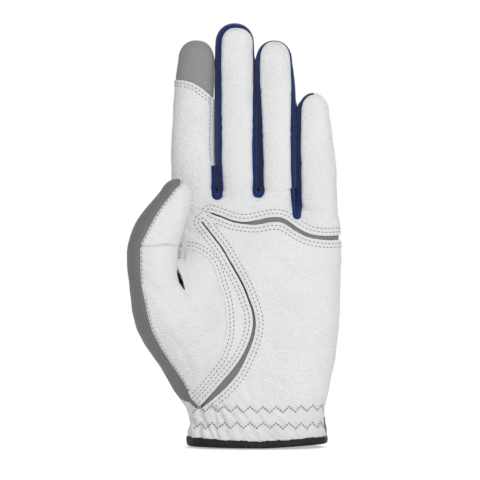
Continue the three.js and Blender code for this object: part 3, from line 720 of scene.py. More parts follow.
def cuts(s):
    """The cuts of the hand's skin, in order: by name, the value whose zero is cut, and where it counts."""
    palm = (s["y"] < 4) & (s["z"] > 17)
    low = s["z"] < THUMB_LEAVE
    left = s["x"] < -12
    return {
        "leave": (s["leave"], s["z"] > 100),
        "rim": (s["rim"], s["z"] < 8),
        "front": (s["front"], (s["x"] > 0) | (s["z"] > THUMB_LEAVE) | (s["z"] < 32)),
        "cuff": (s["cuff"], s["y"] < 4),
        "crease_up": (s["crease"] - s["crease_half"], palm & (s["z"] > 98) & (s["x"] > -30)),
        "crease_down": (s["crease"] + s["crease_half"], palm & (s["z"] > 98) & (s["x"] > -30)),
        "thenar_left": (s["thenar"] - s["thenar_half"], palm & (s["thumb"] < 3)),
        "thenar_right": (s["thenar"] + s["thenar_half"], palm & (s["thumb"] < 3)),
        "hole": (s["hole"], palm & (s["facing"] > -2)),
        "edge": (s["edge"], left & low & (s["facing"] > -2)),
        "back_edge": (s["back_edge"], left & (s["z"] < THUMB_LEAVE + 9) & (s["facing"] < 2)),
        "thumb": (s["z"] - THUMB_LEAVE, left & (s["thumb"] > -2)),
        "tube": (s["tube"], ~low & left & (s["thumb"] > 0)),
        "fold": (s["fold"], left & (s["facing"] > 0) & (np.abs(s["fold"]) < 2)),
        "quirk_gap": (s["quirk_gap"], left & (s["facing"] > -2) & (np.abs(s["quirk"]) < 3) & (s["z"] > 76)
                      & (s["z"] < 94) & (s["y"] < -8)),
        "web": (s["web"], s["z"] > 108),
        "web_middle": (s["web_middle"], (s["web"] < 0) & (s["z"] > 108)),
        "slit": (s["slit"], (s["y"] > 0) & (s["z"] < 70)),
        "slit_edge": (s["slit"] - SLIT["edging"], (s["y"] > 0) & (s["z"] < 70)),
        "knuckle_low": (s["knuckle_low"], (s["y"] > 0) & (s["thumb"] < 0)),
        "knuckle_high": (s["knuckle_high"], (s["y"] > 0) & (s["thumb"] < 0)),
    }


SEAM_LINES = ("crease_up", "crease_down", "thenar_left", "thenar_right", "hole", "edge", "web", "back_edge",
              "slit_edge", "knuckle_low", "knuckle_high", "tube", "front", "fold", "quirk_gap")


HAND_GRID = (-68, -37, -1), (45, 24, 136), 0.95  # low and high corner and pitch of the grid around the hand
SEAM_LEVELS = (0, -0.8, 0.8)  # a seam, and a line on each side of it that holds the turn of its edge


@lru_cache(None)
def hand_skin():
    """The outside of the glove without its fingers, cut along every seam, and the panel of each triangle."""
    p, faces = surface_net(hand_field, *HAND_GRID)
    p = relax(p, faces)
    p, n = settle(hand_field, p)
    s = seam_values(p, n)
    for name in list(cuts(s)):
        for level in SEAM_LEVELS if name in SEAM_LINES else (0,):
            value, where = cuts(s)[name]
            p, n, faces, s = split(p, n, faces, s, np.where(where, value - level, FAR * np.sign(value)))
    c = {name: inside_of(value, faces) for name, (value, _) in cuts(s).items()}
    mean = {name: s[name][faces].mean(1) for name in ("x", "y", "z", "facing", "thumb")}
    label = np.full(len(faces), "palm_leather", dtype="<U24")
    front = c["front"] < 0
    low = c["thumb"] <= 0
    side = (mean["x"] < -12) & low & (mean["z"] > 19)
    facing = mean["facing"] > 0
    palm_side = np.where(side, facing, front)
    label[palm_side & (c["thenar_left"] < 0)] = "thenar_stretch_insert"
    label[palm_side & (c["thenar_right"] < 0)] = "thumb_seam_band"
    label[palm_side & (c["hole"] < 0)] = "thenar_leather"
    label[palm_side & (c["crease_down"] > 0)] = "crease_stretch_insert"
    label[palm_side & (c["crease_up"] > 0)] = "finger_root_leather"
    left_of_start = palm_side & (mean["x"] < -23.6) & (mean["z"] > 99)
    above = mean["z"] - np.interp(mean["x"], [-60, -40, -27.5, -23], [100, 100, 113, 117.5]) > 0
    label[left_of_start & above] = "finger_root_leather"
    label[palm_side & side & (c["edge"] < 0)] = "thumb_side_knit"
    back = ~palm_side
    label[back] = "back_leather"
    label[back & (c["knuckle_low"] > 0)] = "knuckle_stretch_panel"
    label[back & (c["knuckle_high"] > 0)] = "finger_root_back"
    label[back & (mean["x"] < -12) & (mean["z"] > 19) & (mean["z"] < THUMB_LEAVE + 8)
          & (c["back_edge"] < 0)] = "thumb_side_knit"
    label[(c["web"] < 0) & (mean["z"] > 108)] = "web"
    label[(c["cuff"] < 0) & front] = "cuff_front_leather"
    thumb = (c["thumb"] > 0) & (mean["thumb"] > 0) & (mean["x"] < -12)
    label[thumb] = "thumb_back_knit"
    label[thumb & (c["tube"] > 0)] = "thumb_front_leather"
    label[(c["quirk_gap"] < 0) & (mean["facing"] > -2) & (mean["y"] < -8) & (mean["z"] > 77) & (mean["z"] < 93)
          & (mean["x"] < -30)] = "open"
    slit = (mean["y"] > 0) & (mean["z"] < 70)
    label[slit & (c["slit_edge"] < 0) & back] = "slit_edging"
    label[slit & (c["slit"] < 0) & back] = "open"
    label[(c["rim"] < 0) | (c["leave"] > 0) & ~thumb & (mean["z"] > 100)] = "open"
    return p, n, faces, label, s


# ---------------------------------------------------------------- materials
def node(tree, kind, settings=None, **links):
    """Adds a node: settings are its own properties, links are its inputs, as values or as other nodes' outputs."""
    made = tree.nodes.new("ShaderNode" + kind)
    for key, value in (settings or {}).items():
        setattr(made, key, value)
    for key, value in links.items():
        numbered = key[0] == "i" and key[1:].isdigit()
        socket = made.inputs[int(key[1:]) if numbered else key.replace("_", " ")]
        if isinstance(value, bpy.types.NodeSocket):
            tree.links.new(value, socket)
        else:
            socket.default_value = value
    return made


def start_material(name, roughness, specular, sheen):
    made = bpy.data.materials.new(name)
    made.use_nodes = True
    shader = made.node_tree.nodes["Principled BSDF"]
    for key, value in (("Roughness", roughness), ("Specular IOR Level", specular), ("Sheen Weight", sheen),
                       ("Sheen Roughness", 0.4)):
        shader.inputs[key].default_value = value
    return made, made.node_tree, shader, node(made.node_tree, "TexCoord").outputs["Object"]


def finish_material(tree, shader, share, low, high, bump):
    """Tints the shader between two colours by a share, and roughens it by a bump."""
    tint = node(tree, "Mix", {"data_type": "RGBA"}, i0=share.outputs[0], i6=low, i7=high)
    tree.links.new(tint.outputs[2], shader.inputs["Base Color"])
    tree.links.new(bump.outputs[0], shader.inputs["Normal"])


def tone_of(field, share):
    """A user's colour, and the same colour at a share of its brightness."""
    tone = tuple(getattr(bpy.context.scene.glove_colours, field))
    return tone, tuple(c * share for c in tone[:3]) + (1.0,)


def per_metre(length):
    """The texture scale at which one repeat is this many millimetres long."""
    return 1000 / length


def leather(name):
    """Tawed sheep leather, tumbled: a soft white skin with a fine pebble, slack creases and a low satin gloss, and
    painted shade in the hollows of the pebble.
    """
    made, tree, shader, place = start_material(name, 0.5, 0.35, 0.08)
    sizes, colours = bpy.context.scene.glove_sizes, bpy.context.scene.glove_colours
    slant = node(tree, "Mapping", Vector=place, Rotation=(0.0, 0.6, 0.0), Scale=(1.0, 1.0, 2.2)).outputs[0]
    pebble = node(tree, "TexVoronoi", {"feature": "SMOOTH_F1"}, Vector=slant, Scale=per_metre(sizes.grain) / 1.5,
                  Smoothness=0.4)
    folds = node(tree, "TexNoise", Vector=slant, Scale=per_metre(5.0), Detail=4.0, Roughness=0.6, Distortion=0.6)
    patches = node(tree, "TexNoise", Vector=place, Scale=per_metre(22.0), Detail=3.0)
    worn = node(tree, "MapRange", Value=patches.outputs[0], i1=0.35, i2=0.68)
    # painted shade: the colour darkens in the hollows between the grain's pebbles
    pore_shade = node(tree, "MapRange", Value=pebble.outputs["Distance"], i1=0.15, i2=0.7)
    hollow = node(tree, "Math", {"operation": "MULTIPLY"}, i0=worn.outputs[0], i1=0.35)
    # depth mixes the painted shade of the grain's hollows with random darker patches
    depth = node(tree, "Math", {"operation": "MULTIPLY_ADD"}, i0=pore_shade.outputs[0], i1=0.3, i2=hollow.outputs[0])
    gloss = node(tree, "MapRange", Value=folds.outputs[0], i1=0.3, i2=0.7, i3=0.44, i4=0.58)
    tree.links.new(gloss.outputs[0], shader.inputs["Roughness"])
    soft = node(tree, "Bump", Strength=0.22, Distance=0.0011, Height=folds.outputs[0])
    fine = node(tree, "Bump", {"invert": True}, Strength=0.75, Distance=0.0005, Height=pebble.outputs["Distance"],
                Normal=soft.outputs[0])
    finish_material(tree, shader, depth, tuple(colours.leather), tuple(colours.leather_shade), fine)
    return made


def knit(name, dark_share, field):
    """Stretch warp knit of nylon and elastane: fine wales with rungs between them, matt, with a little bloom."""
    made, tree, shader, place = start_material(name, 0.78, 0.25, 0.35)
    tone, dark = tone_of(field, dark_share)
    wale = bpy.context.scene.glove_sizes.wale  # real wales stand about 0.4 mm apart; drawn as coarse as they show
    bands = []
    for direction, length, wander in (("X", wale, 0.4), ("Z", wale * 1.3, 0.6)):
        bands.append(node(tree, "TexWave", {"bands_direction": direction, "wave_profile": "SIN"}, Vector=place,
                          Scale=per_metre(length) / 20 * math.pi, Distortion=wander, Detail=1.0, Detail_Scale=2.0))
    mesh = node(tree, "Math", {"operation": "MULTIPLY"}, i0=bands[0].outputs[1], i1=bands[1].outputs[1])
    patches = node(tree, "TexNoise", Vector=place, Scale=per_metre(9.0), Detail=3.0)
    share = node(tree, "MapRange", Value=mesh.outputs[0], i1=0.0, i2=0.6)
    blotch = node(tree, "Math", {"operation": "MULTIPLY"}, i0=share.outputs[0], i1=patches.outputs[0])
    bump = node(tree, "Bump", Strength=0.5, Distance=0.0003, Height=mesh.outputs[0])
    finish_material(tree, shader, blotch, dark, tone, bump)
    return made


def plain_cloth(name, field, roughness, grain, strength, sheen, spread=0.75):
    """Woven narrow fabric: an even tone that a fine irregular weave breaks up."""
    made, tree, shader, place = start_material(name, roughness, 0.3, sheen)
    tone, dark = tone_of(field, spread)
    weave = node(tree, "TexVoronoi", {"feature": "F1"}, Vector=place, Scale=per_metre(grain))
    patches = node(tree, "TexNoise", Vector=place, Scale=per_metre(6.0), Detail=4.0)
    share = node(tree, "MapRange", Value=patches.outputs[0], i1=0.3, i2=0.7)
    bump = node(tree, "Bump", Strength=strength, Distance=0.0003, Height=weave.outputs[0])
    finish_material(tree, shader, share, dark, tone, bump)
    return made


CLOTHS = {  # kind of piece: its slot, how its material is made, and what with
    "leather": ("white_leather", leather, "sheep_leather_tumbled"),
    "grey_knit": ("grey_knit", knit, "nylon_elastane_warp_knit_grey", 0.86, "grey_knit"),
    # painted shade: the grey knit in a darker copy for the sunk flex lines
    "flex_knit": ("grey_knit", knit, "nylon_elastane_warp_knit_flex", 0.86, "flex_knit"),
    "dark_knit": ("grey_knit", knit, "nylon_elastane_warp_knit_dark", 0.85, "dark_knit"),
    "blue_knit": ("blue_knit", knit, "nylon_elastane_warp_knit_blue", 0.5, "blue_knit"),
    "binding": ("black_binding", plain_cloth, "synthetic_suede_binding_folded", "binding", 0.62, 0.6, 0.35, 0.1),
    # painted shade: this thread's grey stands for the shade of the needle holes around its stitches
    "thread": ("white_thread", plain_cloth, "polyester_thread_bonded", "thread", 0.55, 0.3, 0.3, 0.1, 0.85),
    "white_thread": ("white_thread", plain_cloth, "polyester_thread_textured", "white_thread", 0.6, 0.3, 0.3, 0.1,
                     0.85),
    # painted shade of the needle holes
    "holes": ("black_binding", plain_cloth, "needle_hole_in_leather", "holes", 0.9, 0.3, 0.2, 0.0),
    "elastic": ("white_elastic", plain_cloth, "elastic_braid_woven", "elastic", 0.8, 0.8, 0.6, 0.2),
    "hook": ("grey_hook", plain_cloth, "nylon_hook_and_loop_woven", "hook", 0.85, 0.55, 0.9, 0.4),
}


def cloth(kind):
    """The material of a kind of piece, made when it is first asked for."""
    _, make, name, *rest = CLOTHS[kind]
    return bpy.data.materials.get(name) or make(name, *rest)


# ---------------------------------------------------------------- slack, folds and gathers of the leather
THUMB_FOLD = [(-59, 100.6), (-52, 100), (-46, 100.8), (-38, 100.3)]
# the seam at the thumb's root whose middle stands open
QUIRK = [(-39.3, 91), (-38.2, 86), (-36.3, 81.2), (-34.2, 78.2)]
FOLDS = [  # line in the palm's plane, depth, half width
    (THUMB_FOLD, 1.3, 0.6),
    ([(-58, 93), (-53, 90.5), (-49, 90)], 0.4, 1.0), ([(-50, 95), (-45, 91.5), (-41, 90.5)], 0.4, 1.0),
    ([(-55, 84), (-50, 79), (-46, 71)], 0.35, 1.5), (QUIRK, 1.0, 1.3),
    ([(-36.4, 98), (-36.7, 91), (-34.8, 80)], 0.45, 0.8),
    ([(-47, 76), (-42, 68), (-38, 58)], 0.4, 1.8), ([(-40, 84), (-34, 78), (-29, 70)], 0.45, 1.4),
    ([(-30, 52), (-26, 44), (-27, 36)], 0.4, 1.6), ([(-20, 125), (-11, 127), (-1, 126)], 0.55, 0.8),
    ([(3, 128.5), (11, 127), (19, 129)], 0.45, 0.8), ([(24, 118.5), (31, 117.4), (39, 119)], 0.5, 0.8),
    ([(2, 100), (12, 92), (20, 80)], 0.28, 2.4), ([(14, 100), (26, 92), (37, 90)], 0.25, 2.2),
    ([(0, 58), (8, 50), (12, 38)], 0.3, 2.2), ([(20, 66), (30, 58), (39, 56)], 0.28, 2.4),
    ([(6, 36), (14, 30), (18, 22)], 0.35, 1.6), ([(24, 42), (29, 33), (30, 22)], 0.35, 1.8),
    ([(-8, 36), (-4, 28), (-3, 20)], 0.35, 1.5), ([(-37, 110), (-31, 107), (-26, 109)], 0.4, 1.4),
    ([(-42, 56), (-36, 46), (-32, 38)], 0.35, 1.6),
]


def pleats():
    """The gathers over the elastic: place, height, slant, half width and depth, deeper towards the thumb."""
    draw = np.random.default_rng(11)
    rows = []
    for height, count in ((7.6, 15), (15.4, 13), (22.5, 9)):
        for centre in np.linspace(-33, 32, count) + draw.uniform(-1.6, 1.6, count):
            share = (centre + 33) / 65
            rows.append((centre, height + draw.uniform(-0.8, 0.8), -0.25 - 1.1 * share + draw.uniform(-0.25, 0.25),
                         draw.uniform(0.9, 1.5), (1.15 - 0.8 * share) * draw.uniform(0.6, 1.25)
                         * (0.45 if height > 20 else 1)))
    return rows


PLEATS = pleats()
ROWS = (11.2, 19.4)  # heights of the two zigzag rows over the elastic


def slack(p, n):
    """How far the leather stands in or out of the form, in millimetres."""
    x, y, z = p.T
    rise = 0.16 * np.sin(x / 5.3 + z / 9.1 + 0.7) * np.sin(z / 6.7 - x / 11 + y / 7) + 0.12 * np.sin(
        x / 3.1 - z / 4.3 + y / 3.7) * np.sin(z / 3.3 + 1.9)
    facing = np.clip(-n[:, 1] * 2, 0, 1)
    for points, depth, half in FOLDS:
        line = curve(points)
        low, high = line.min(0) - 4 * half, line.max(0) + 4 * half
        near = (x > low[0]) & (x < high[0]) & (z > low[1]) & (z < high[1]) & (facing > 0)
        if not near.any():
            continue
        d, run = nearest(line, x[near], z[near])
        long = np.linalg.norm(np.diff(line, axis=0), axis=1).sum()
        fade = np.sin(np.pi * np.clip((run + 0.12 * long) / (1.24 * long), 0, 1)) ** 0.7
        d = np.abs(d)
        rise[near] += facing[near] * fade * depth * (
            -bell(d, half) + 0.4 * bell(d - 2.1 * half, half))
    gather = bpy.context.scene.glove_sizes.gather
    near = (z < 32) & (y < 6)
    u, w = x[near], z[near]
    total = np.zeros(len(u))
    for centre, height, slant, half, depth in PLEATS:
        off = (u - centre - slant * (w - height)) / half
        fade = bell(w - height, 4.6)
        total += depth * fade * (0.55 * np.exp(-((np.abs(off) - 1.8) ** 2)) - np.exp(-(off**2)))
    rise[near] += gather * total * np.interp(y[near], [1, 6], [1, 0])
    for row in ROWS:
        rise -= 0.45 * bell(z - row, 1.5) * (y < 4)
    return rise


def seam_rise(d, depth, half=0.75):
    """A turned seam: both edges roll down into it."""
    return -depth * bell(np.abs(d), half) + 0.22 * depth * bell(np.abs(d) - 1.9, 0.9)


# ---------------------------------------------------------------- panels of the hand
PANELS = {  # what each panel is made of
    "palm_leather": "leather", "cuff_front_leather": "leather", "finger_root_leather": "leather",
    "thumb_seam_band": "leather", "thenar_leather": "leather", "thumb_front_leather": "leather",
    "back_leather": "leather", "finger_root_back": "leather", "crease_stretch_insert": "flex_knit",
    "thenar_stretch_insert": "flex_knit", "knuckle_stretch_panel": "dark_knit", "thumb_side_knit": "dark_knit",
    "thumb_back_knit": "dark_knit", "slit_edging": "grey_knit", "web": "blue_knit",
}


def hand_rise(label, p, n, s, i):
    """How far each point of a panel stands off the form, from its seams."""
    sizes = bpy.context.scene.glove_sizes
    d = {k: s[k][i] for k in s}
    step, deep = sizes.overlay_step, sizes.seam_depth
    rise = slack(p, n)
    front = d["y"] < 4
    palm = front & (d["thumb"] < 3)
    if label in ("crease_stretch_insert", "thenar_stretch_insert"):
        half = d["crease_half" if label[0] == "c" else "thenar_half"]
        return rise - step * 1.9 - 1.2 * np.clip(1.0 - half, 0, 1)
    if label == "web":
        groove = 0.0
        for middle, foot, half, slant in WEBS:
            off = d["x"] - middle - (d["z"] - foot) * slant / 2
            inside = (np.abs(off) < half) * np.clip((d["y"] + 4) / 3, 0, 1)
            rise = rise + WEB_BULGE * inside * np.clip((d["z"] - foot - 2) / 1.5, 0, 1)
            groove = groove + 1.3 * bell(off, 0.5) * np.clip((d["z"] - foot - 2.2) / 1.5, 0, 1)
        return 0.3 * rise - 0.25 - groove * (d["y"] < 2) - 0.4 * bell(d["web"], 0.7)
    if label in ("palm_leather", "finger_root_leather", "thumb_seam_band"):
        for kind in ("crease", "thenar"):
            edge = np.abs(d[kind]) - d[kind + "_half"]
            rise += np.where(palm, -0.35 * step * bell(edge, 0.5) + 0.3 * step * bell(edge - 1.3, 1.0), 0)
    if label in ("thumb_seam_band", "finger_root_leather"):
        rise += np.where(palm & (d["facing"] > -2) & (d["hole"] > 0),
                         step * np.exp(-np.maximum(d["hole"], 0) / 9) * (1 - 0.4 * bell(d["hole"], 0.4)), 0)
    if label == "thenar_leather":
        rise -= 0.45 * step * bell(d["hole"], 1.2)
    fade = np.clip(np.abs(d["z"] - THUMB_LEAVE) / 4, 0, 1)
    if label in ("thenar_leather", "thumb_side_knit"):
        rise += fade * np.where(d["facing"] > -3, seam_rise(d["edge"], deep * 0.7), 0)
        rise += fade * np.where(d["facing"] < 3, seam_rise(d["back_edge"], deep), 0)
    if label in ("thumb_front_leather", "thumb_back_knit"):
        rise += fade * seam_rise(d["tube"], deep * 0.7)
    if label in ("thumb_back_knit", "thumb_side_knit"):
        rise -= 0.12
    if label in ("finger_root_leather", "finger_root_back"):
        rise += seam_rise(d["web"], deep * 0.8)
    if label in ("back_leather", "knuckle_stretch_panel", "finger_root_back"):
        rise += np.where(d["thumb"] < 2, seam_rise(d["knuckle_low"], deep) + seam_rise(d["knuckle_high"], deep), 0)
        rise += np.where(d["facing"] < 3, seam_rise(d["back_edge"], deep), 0) * (d["x"] < -10) * (d["z"] < THUMB_LEAVE)
    if label in ("palm_leather", "finger_root_leather", "cuff_front_leather", "back_leather", "finger_root_back",
                 "knuckle_stretch_panel", "thumb_seam_band"):
        counts = (d["x"] > 0) | (d["z"] > THUMB_LEAVE) | (d["z"] < 30)
        rise += np.where(counts, seam_rise(d["front"], deep * 0.8), 0)
    if label in ("back_leather", "slit_edging"):
        rise += np.where(d["y"] > 0, seam_rise(d["slit"] - SLIT["edging"], deep * 0.6), 0)
    return rise


def sew_hand_panel(label, name=None):
    p, n, faces, labels, s = hand_skin()
    q, m, f, i = sub_skin(p, n, faces, labels == label)
    return sew(name or label, q, m, f, cloth(PANELS[label]), hand_rise(label, q, m, s, i))


def skin_of(labels):
    """Several panels as one raised skin, with the seam values of its points."""
    p, n, faces, all_labels, s = hand_skin()
    rise = np.full(len(p), -9.0)
    for label in labels:
        q, m, _, i = sub_skin(p, n, faces, all_labels == label)
        rise[i] = np.maximum(rise[i], hand_rise(label, q, m, s, i))
    q, m, f, i = sub_skin(p, n, faces, np.isin(all_labels, labels))
    return q + m * rise[i][:, None], m, f, {k: v[i] for k, v in s.items()}


def hand_rows(rows):
    """Rows of stitches on the hand: each is (panels, the value that they follow, levels, where they count)."""
    parts = []
    for labels, key, levels, keep in rows:
        q, m, f, s = skin_of(labels)
        value = s[key]
        for level in levels:
            parts += stitch_rows(isolines(q, m, f, value, level), keep)
    return parts


# ---------------------------------------------------------------- fingers
FINGER_SEAMS = {  # knit that shows at each side by height, over the tip, the side that the leather wraps, the back seam
    "index": {"left": [(120, 1.5), (210, 1.5)], "right": [(120, 2.2), (137, 2.0), (143, 1.3), (210, 1.5)], "tip": 1.5,
              "wraps": -1, "back": 0.45},
    "middle": {"left": [(120, 1.8), (130, 1.8), (143, 2.9), (215, 3.0)],
               "right": [(120, 2), (153, 2.3), (178, 0.9), (192, 0.5), (215, 0.4)], "tip": 2.4, "wraps": 0,
               "back": 0.4},
    "ring": {"left": [(120, 2.1), (140, 1.9), (153, 1.6), (170, 1.9), (178, 2.2), (215, 1.9)],
             "right": [(120, 2.1), (153, 2.5), (170, 2.5), (182, 1.8), (192, 0.9), (215, 0.3)], "tip": 0.35,
             "wraps": 0, "back": 0.4},
    "little": {"left": [(112, 2), (150, 1.9), (165, 1.6), (185, 1.6)], "right": [(112, 1.5), (185, 1.5)], "tip": 0.9,
               "wraps": 1, "back": 0.45},
}
CAP_LINE = curve([(-50, 185.4), (-41.5, 184), (-36, 183.2), (-31, 181.5), (-26, 178), (-22, 174.5), (-15, 169)])
FLANK_FROM = 141.0  # the index finger's knit stops here, and leather goes on


def finger_values(name, p):
    """Every scalar whose zero is a seam, at each point of a finger's skin, and the offsets that its rise needs."""
    seams = FINGER_SEAMS[name]
    x, _, z = p.T
    u, v, over = finger_frame(name, p)
    r = np.sqrt(u * u + v * v + over * over)
    turn = np.arcsin(np.clip(-v / r, -1, 1))
    t = u / np.maximum(np.hypot(u, over), 1e-6)
    angle = lambda w: np.arccos(np.clip(1 - w / 9.3, -1, 1))
    show = np.where(u < 0, angle(np.interp(z, *np.array(seams["left"]).T)),
                    angle(np.interp(z, *np.array(seams["right"]).T)))
    front = show * t**2 + angle(seams["tip"]) * (1 - t**2)
    wrapped = u * seams["wraps"] > 0
    values = {"side": u, "front": np.where(wrapped, FAR, 9 * (turn - front)), "back": 9 * (-turn - seams["back"]),
              "z": z, "v": v, "turn": turn, "cap": np.full(len(p), -FAR), "flank": np.full(len(p), -FAR)}
    if name == "index":
        values["cap"] = nearest(CAP_LINE, x, z)[0]
        values["flank"] = np.where((u > 0) & (values["front"] < 4), z - FLANK_FROM, FAR)
    return values


@lru_cache(None)
def finger_skin(name):
    f = FINGERS[name]
    heights = list(np.arange(f["leave"], f["round"], 1.0)) + [f["round"]]
    tall = f["tip"] - f["round"]
    rings = [(z, 1.0) for z in heights] + [
        (f["round"] + tall * math.sin(a), math.cos(a)) for a in np.linspace(0, math.pi / 2, 13)[1:-1]]
    around = 60
    points = []
    for k, (z, share) in enumerate(rings):
        at = min(z, f["round"])
        left, right = (float(table(f[key], np.array([at]))[0]) for key in ("left", "right"))
        lean, depth = finger_lean(name, np.array([z]))
        a = 2 * np.pi * (np.arange(around) + 0.5 * (k % 2)) / around
        points.append(np.stack([(left + right) / 2 + (right - left) / 2 * np.cos(a) * share,
                                lean[0] + depth[0] * np.sin(a) * share, np.full(around, z)], 1))
    lean, _ = finger_lean(name, np.array([f["tip"]]))
    top = points[-1].mean(0)
    points.append(np.array([[top[0], lean[0], f["tip"]]]))
    faces = []
    for k in range(len(rings) - 1):
        i = np.arange(around)
        j = (i + 1) % around
        a, b, c, d = k * around + i, k * around + j, (k + 1) * around + j, (k + 1) * around + i
        if k % 2 == 0:
            faces += [np.stack([a, b, d], 1), np.stack([b, c, d], 1)]
        else:
            faces += [np.stack([a, b, c], 1), np.stack([a, c, d], 1)]
    last = (len(rings) - 1) * around
    i = np.arange(around)
    faces.append(np.stack([last + i, last + (i + 1) % around, np.full(around, len(rings) * around)], 1))
    p, faces = np.vstack(points), np.vstack(faces)
    low = p[:, 2] < f["leave"] + 0.01
    settled, n = settle(lambda q: finger_field(name, q), p)
    settled[low, 2] = f["leave"]
    p = settled
    s = finger_values(name, p)
    for key in ("front", "back", "cap", "flank"):
        for level in SEAM_LEVELS if key != "flank" else (0,):
            p, n, faces, s = split(p, n, faces, s, s[key] - level)
    c = {key: inside_of(s[key], faces) for key in ("front", "back", "cap", "flank")}
    label = np.full(len(faces), "fourchette", dtype="<U12")
    label[c["flank"] > 0] = "flank"
    label[c["front"] > 0] = "front"
    label[c["back"] > 0] = "back"
    label[c["cap"] > 0] = "cap"
    return p, n, faces, label, s


GAP_CLOSED = {"index": 196.0, "middle": 199.0, "ring": 196.0, "little": 173.5}  # neighbours touch up to here
GAP_OVERLAP = 0.09  # how far each side's knit goes past the middle of the gap, so that no light comes through


def gap_share(name, side, z):
    """Half the room between a finger and its neighbour, which the knit fills deep in the gap."""
    names = list(FINGERS)
    k = names.index(name) + side
    if k < 0 or k > 3:
        return np.zeros(len(z))
    mine, other = ("right", "left") if side > 0 else ("left", "right")
    room = side * (table(FINGERS[names[k]][other], z) - table(FINGERS[name][mine], z)) / 2
    share = np.clip(room + GAP_OVERLAP, 0, 0.95)
    for each in (names[k], name):
        share = share * np.clip((GAP_CLOSED[each] - z) / 2.5, 0, 1)
    return share


def finger_rise(name, label, p, n, s, i):
    sizes = bpy.context.scene.glove_sizes
    d = {k: s[k][i] for k in s}
    rise = slack(p, n)
    f, hinge = FINGERS[name], HINGE[name][2]
    long = f["tip"] - hinge
    for share, depth in ((0.3, 0.3), (0.36, 0.2), (0.62, 0.22)):
        at = hinge + long * share + 1.2 * np.sin(p[:, 0] / 3)
        rise -= depth * bell(p[:, 2] - at, 1.1) * np.clip(d["turn"] * 1.5, 0, 1)
    fade = np.clip((d["z"] - f["leave"]) / 4, 0, 1)
    if label in ("front", "back"):
        rise += seam_rise(d["front"] if label == "front" else FAR, sizes.seam_depth * 0.8)
        rise += seam_rise(d["back"], sizes.seam_depth * 0.8) * fade
        rise += 0.12 * fade
    elif label in ("fourchette", "flank"):
        near = np.minimum(np.abs(d["front"]), np.abs(d["back"]))
        spare = np.where(d["side"] > 0, gap_share(name, 1, d["z"]), gap_share(name, -1, d["z"]))
        bulge = spare * np.clip((d["v"] + 0.35) / 0.3, 0, 1) * np.clip(near / 1.5, 0, 1)
        rise = 0.1 * rise + bulge - 0.45 * bell(near, 0.6)
    if name == "index":
        step = sizes.overlay_step
        if label == "cap":
            rise -= 0.1 + 0.5 * step * bell(d["cap"], 0.9)
        else:
            rise += 0.5 * step * bell(d["cap"], 1.6)
    return rise


FINGER_PANELS = {"front": ("leather", ("front_leather", "crease")), "back": ("leather", ("back_leather",)),
                 "fourchette": ("blue_knit", ("fourchette",)), "flank": ("leather", ()),
                 "cap": ("grey_knit", ("tip_cap",))}


def bend_with_finger(piece):
    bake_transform(piece)


# ---------------------------------------------------------------- patches that follow the hand
def way_out(place_at, far, halvings):
    """How far out each place can go, between nothing and far, before it leaves the palm's form."""
    near = np.zeros(len(far))
    for _ in range(halvings):
        middle = (near + far) / 2
        inside = palm_field(place_at(middle)) < 0
        near, far = np.where(inside, middle, near), np.where(inside, far, middle)
    return near


def surface_y(x, z, back):
    """Depth of the hand's outside at places in the palm's plane."""
    x, z = np.broadcast_arrays(x, z)
    shape = x.shape
    x, z = x.ravel().astype(float), z.ravel().astype(float)
    far = np.full(len(x), 30.0 if back else -30.0)
    return way_out(lambda y: np.stack([x, y, z], 1), far, 22).reshape(shape)


def patch(name, material, rows, offset, thick, back=True, edge=0.5, across=34):
    """A layer over the hand: rows of (height, from x, to x), set off from it by a distance that may vary."""
    z = np.array([r[0] for r in rows])[:, None] + np.zeros((1, across))
    share = np.linspace(0, 1, across)[None, :]
    x = np.array([r[1] for r in rows])[:, None] * (1 - share) + np.array([r[2] for r in rows])[:, None] * share
    y = surface_y(x, z, back)
    h = 0.3
    nx = -(surface_y(x + h, z, back) - surface_y(x - h, z, back)) / (2 * h)
    nz = -(surface_y(x, z + h, back) - surface_y(x, z - h, back)) / (2 * h)
    n = unit(np.stack([nx, np.ones_like(nx), nz], -1))
    if not back:
        n = -n
    p = np.stack([x, y, z], -1)
    off = offset(x, z) if callable(offset) else np.full(x.shape, float(offset))
    return shell(name, material, p + n * off[..., None], p + n * (off + thick)[..., None], back, edge)


def shell(name, material, low, high, turned=True, edge=0.5):
    """A closed layer between two grids of points, thinner at its edges."""
    rim = np.zeros(low.shape[:2], bool)
    rim[0], rim[-1], rim[:, 0], rim[:, -1] = True, True, True, True
    squeeze = np.where(rim, edge, 1.0)[..., None]
    middle = (low + high) / 2
    low, high = middle + (low - middle) * squeeze, middle + (high - middle) * squeeze
    index = np.arange(rim.size).reshape(rim.shape)
    a, b, c, d = index[:-1, :-1].ravel(), index[:-1, 1:].ravel(), index[1:, 1:].ravel(), index[1:, :-1].ravel()
    top = np.stack([a, d, c, b] if turned else [a, b, c, d], 1)
    k = rim.size
    loop = [int(v) for v in (*index[0, :-1], *index[:-1, -1], *index[-1, :0:-1], *index[:0:-1, 0])]
    wall = []
    for m, q in zip(loop, loop[1:] + loop[:1]):
        wall.append((m, q, q + k, m + k) if turned else (m, m + k, q + k, q))
    faces = top.tolist() + (top[:, ::-1] + k).tolist() + wall
    return mesh_piece(name, np.vstack([high.reshape(-1, 3), low.reshape(-1, 3)]), faces, material, 60)


def rounded_rows(low, high, left, right, corner, count):
    """Rows of a flap with round corners at its free end."""
    z = low + (high - low) * (1 - np.cos(np.linspace(0, np.pi, count))) / 2
    rows = []
    for h in z:
        inset = max(0.0, corner - min(h - low, high - h))
        cut_in = corner - math.sqrt(max(0.0, corner**2 - inset**2))
        rows.append((h, left, right - cut_in))
    return rows


def on_back(x, z, lift):
    """Places on the back of the hand, lifted off it, and the directions out of it."""
    x, z = np.asarray(x, float), np.asarray(z, float)
    p = np.stack([x, surface_y(x, z, True), z], 1)
    n = unit(slope(palm_field, p))
    return p + n * np.broadcast_to(lift, len(x))[:, None], n


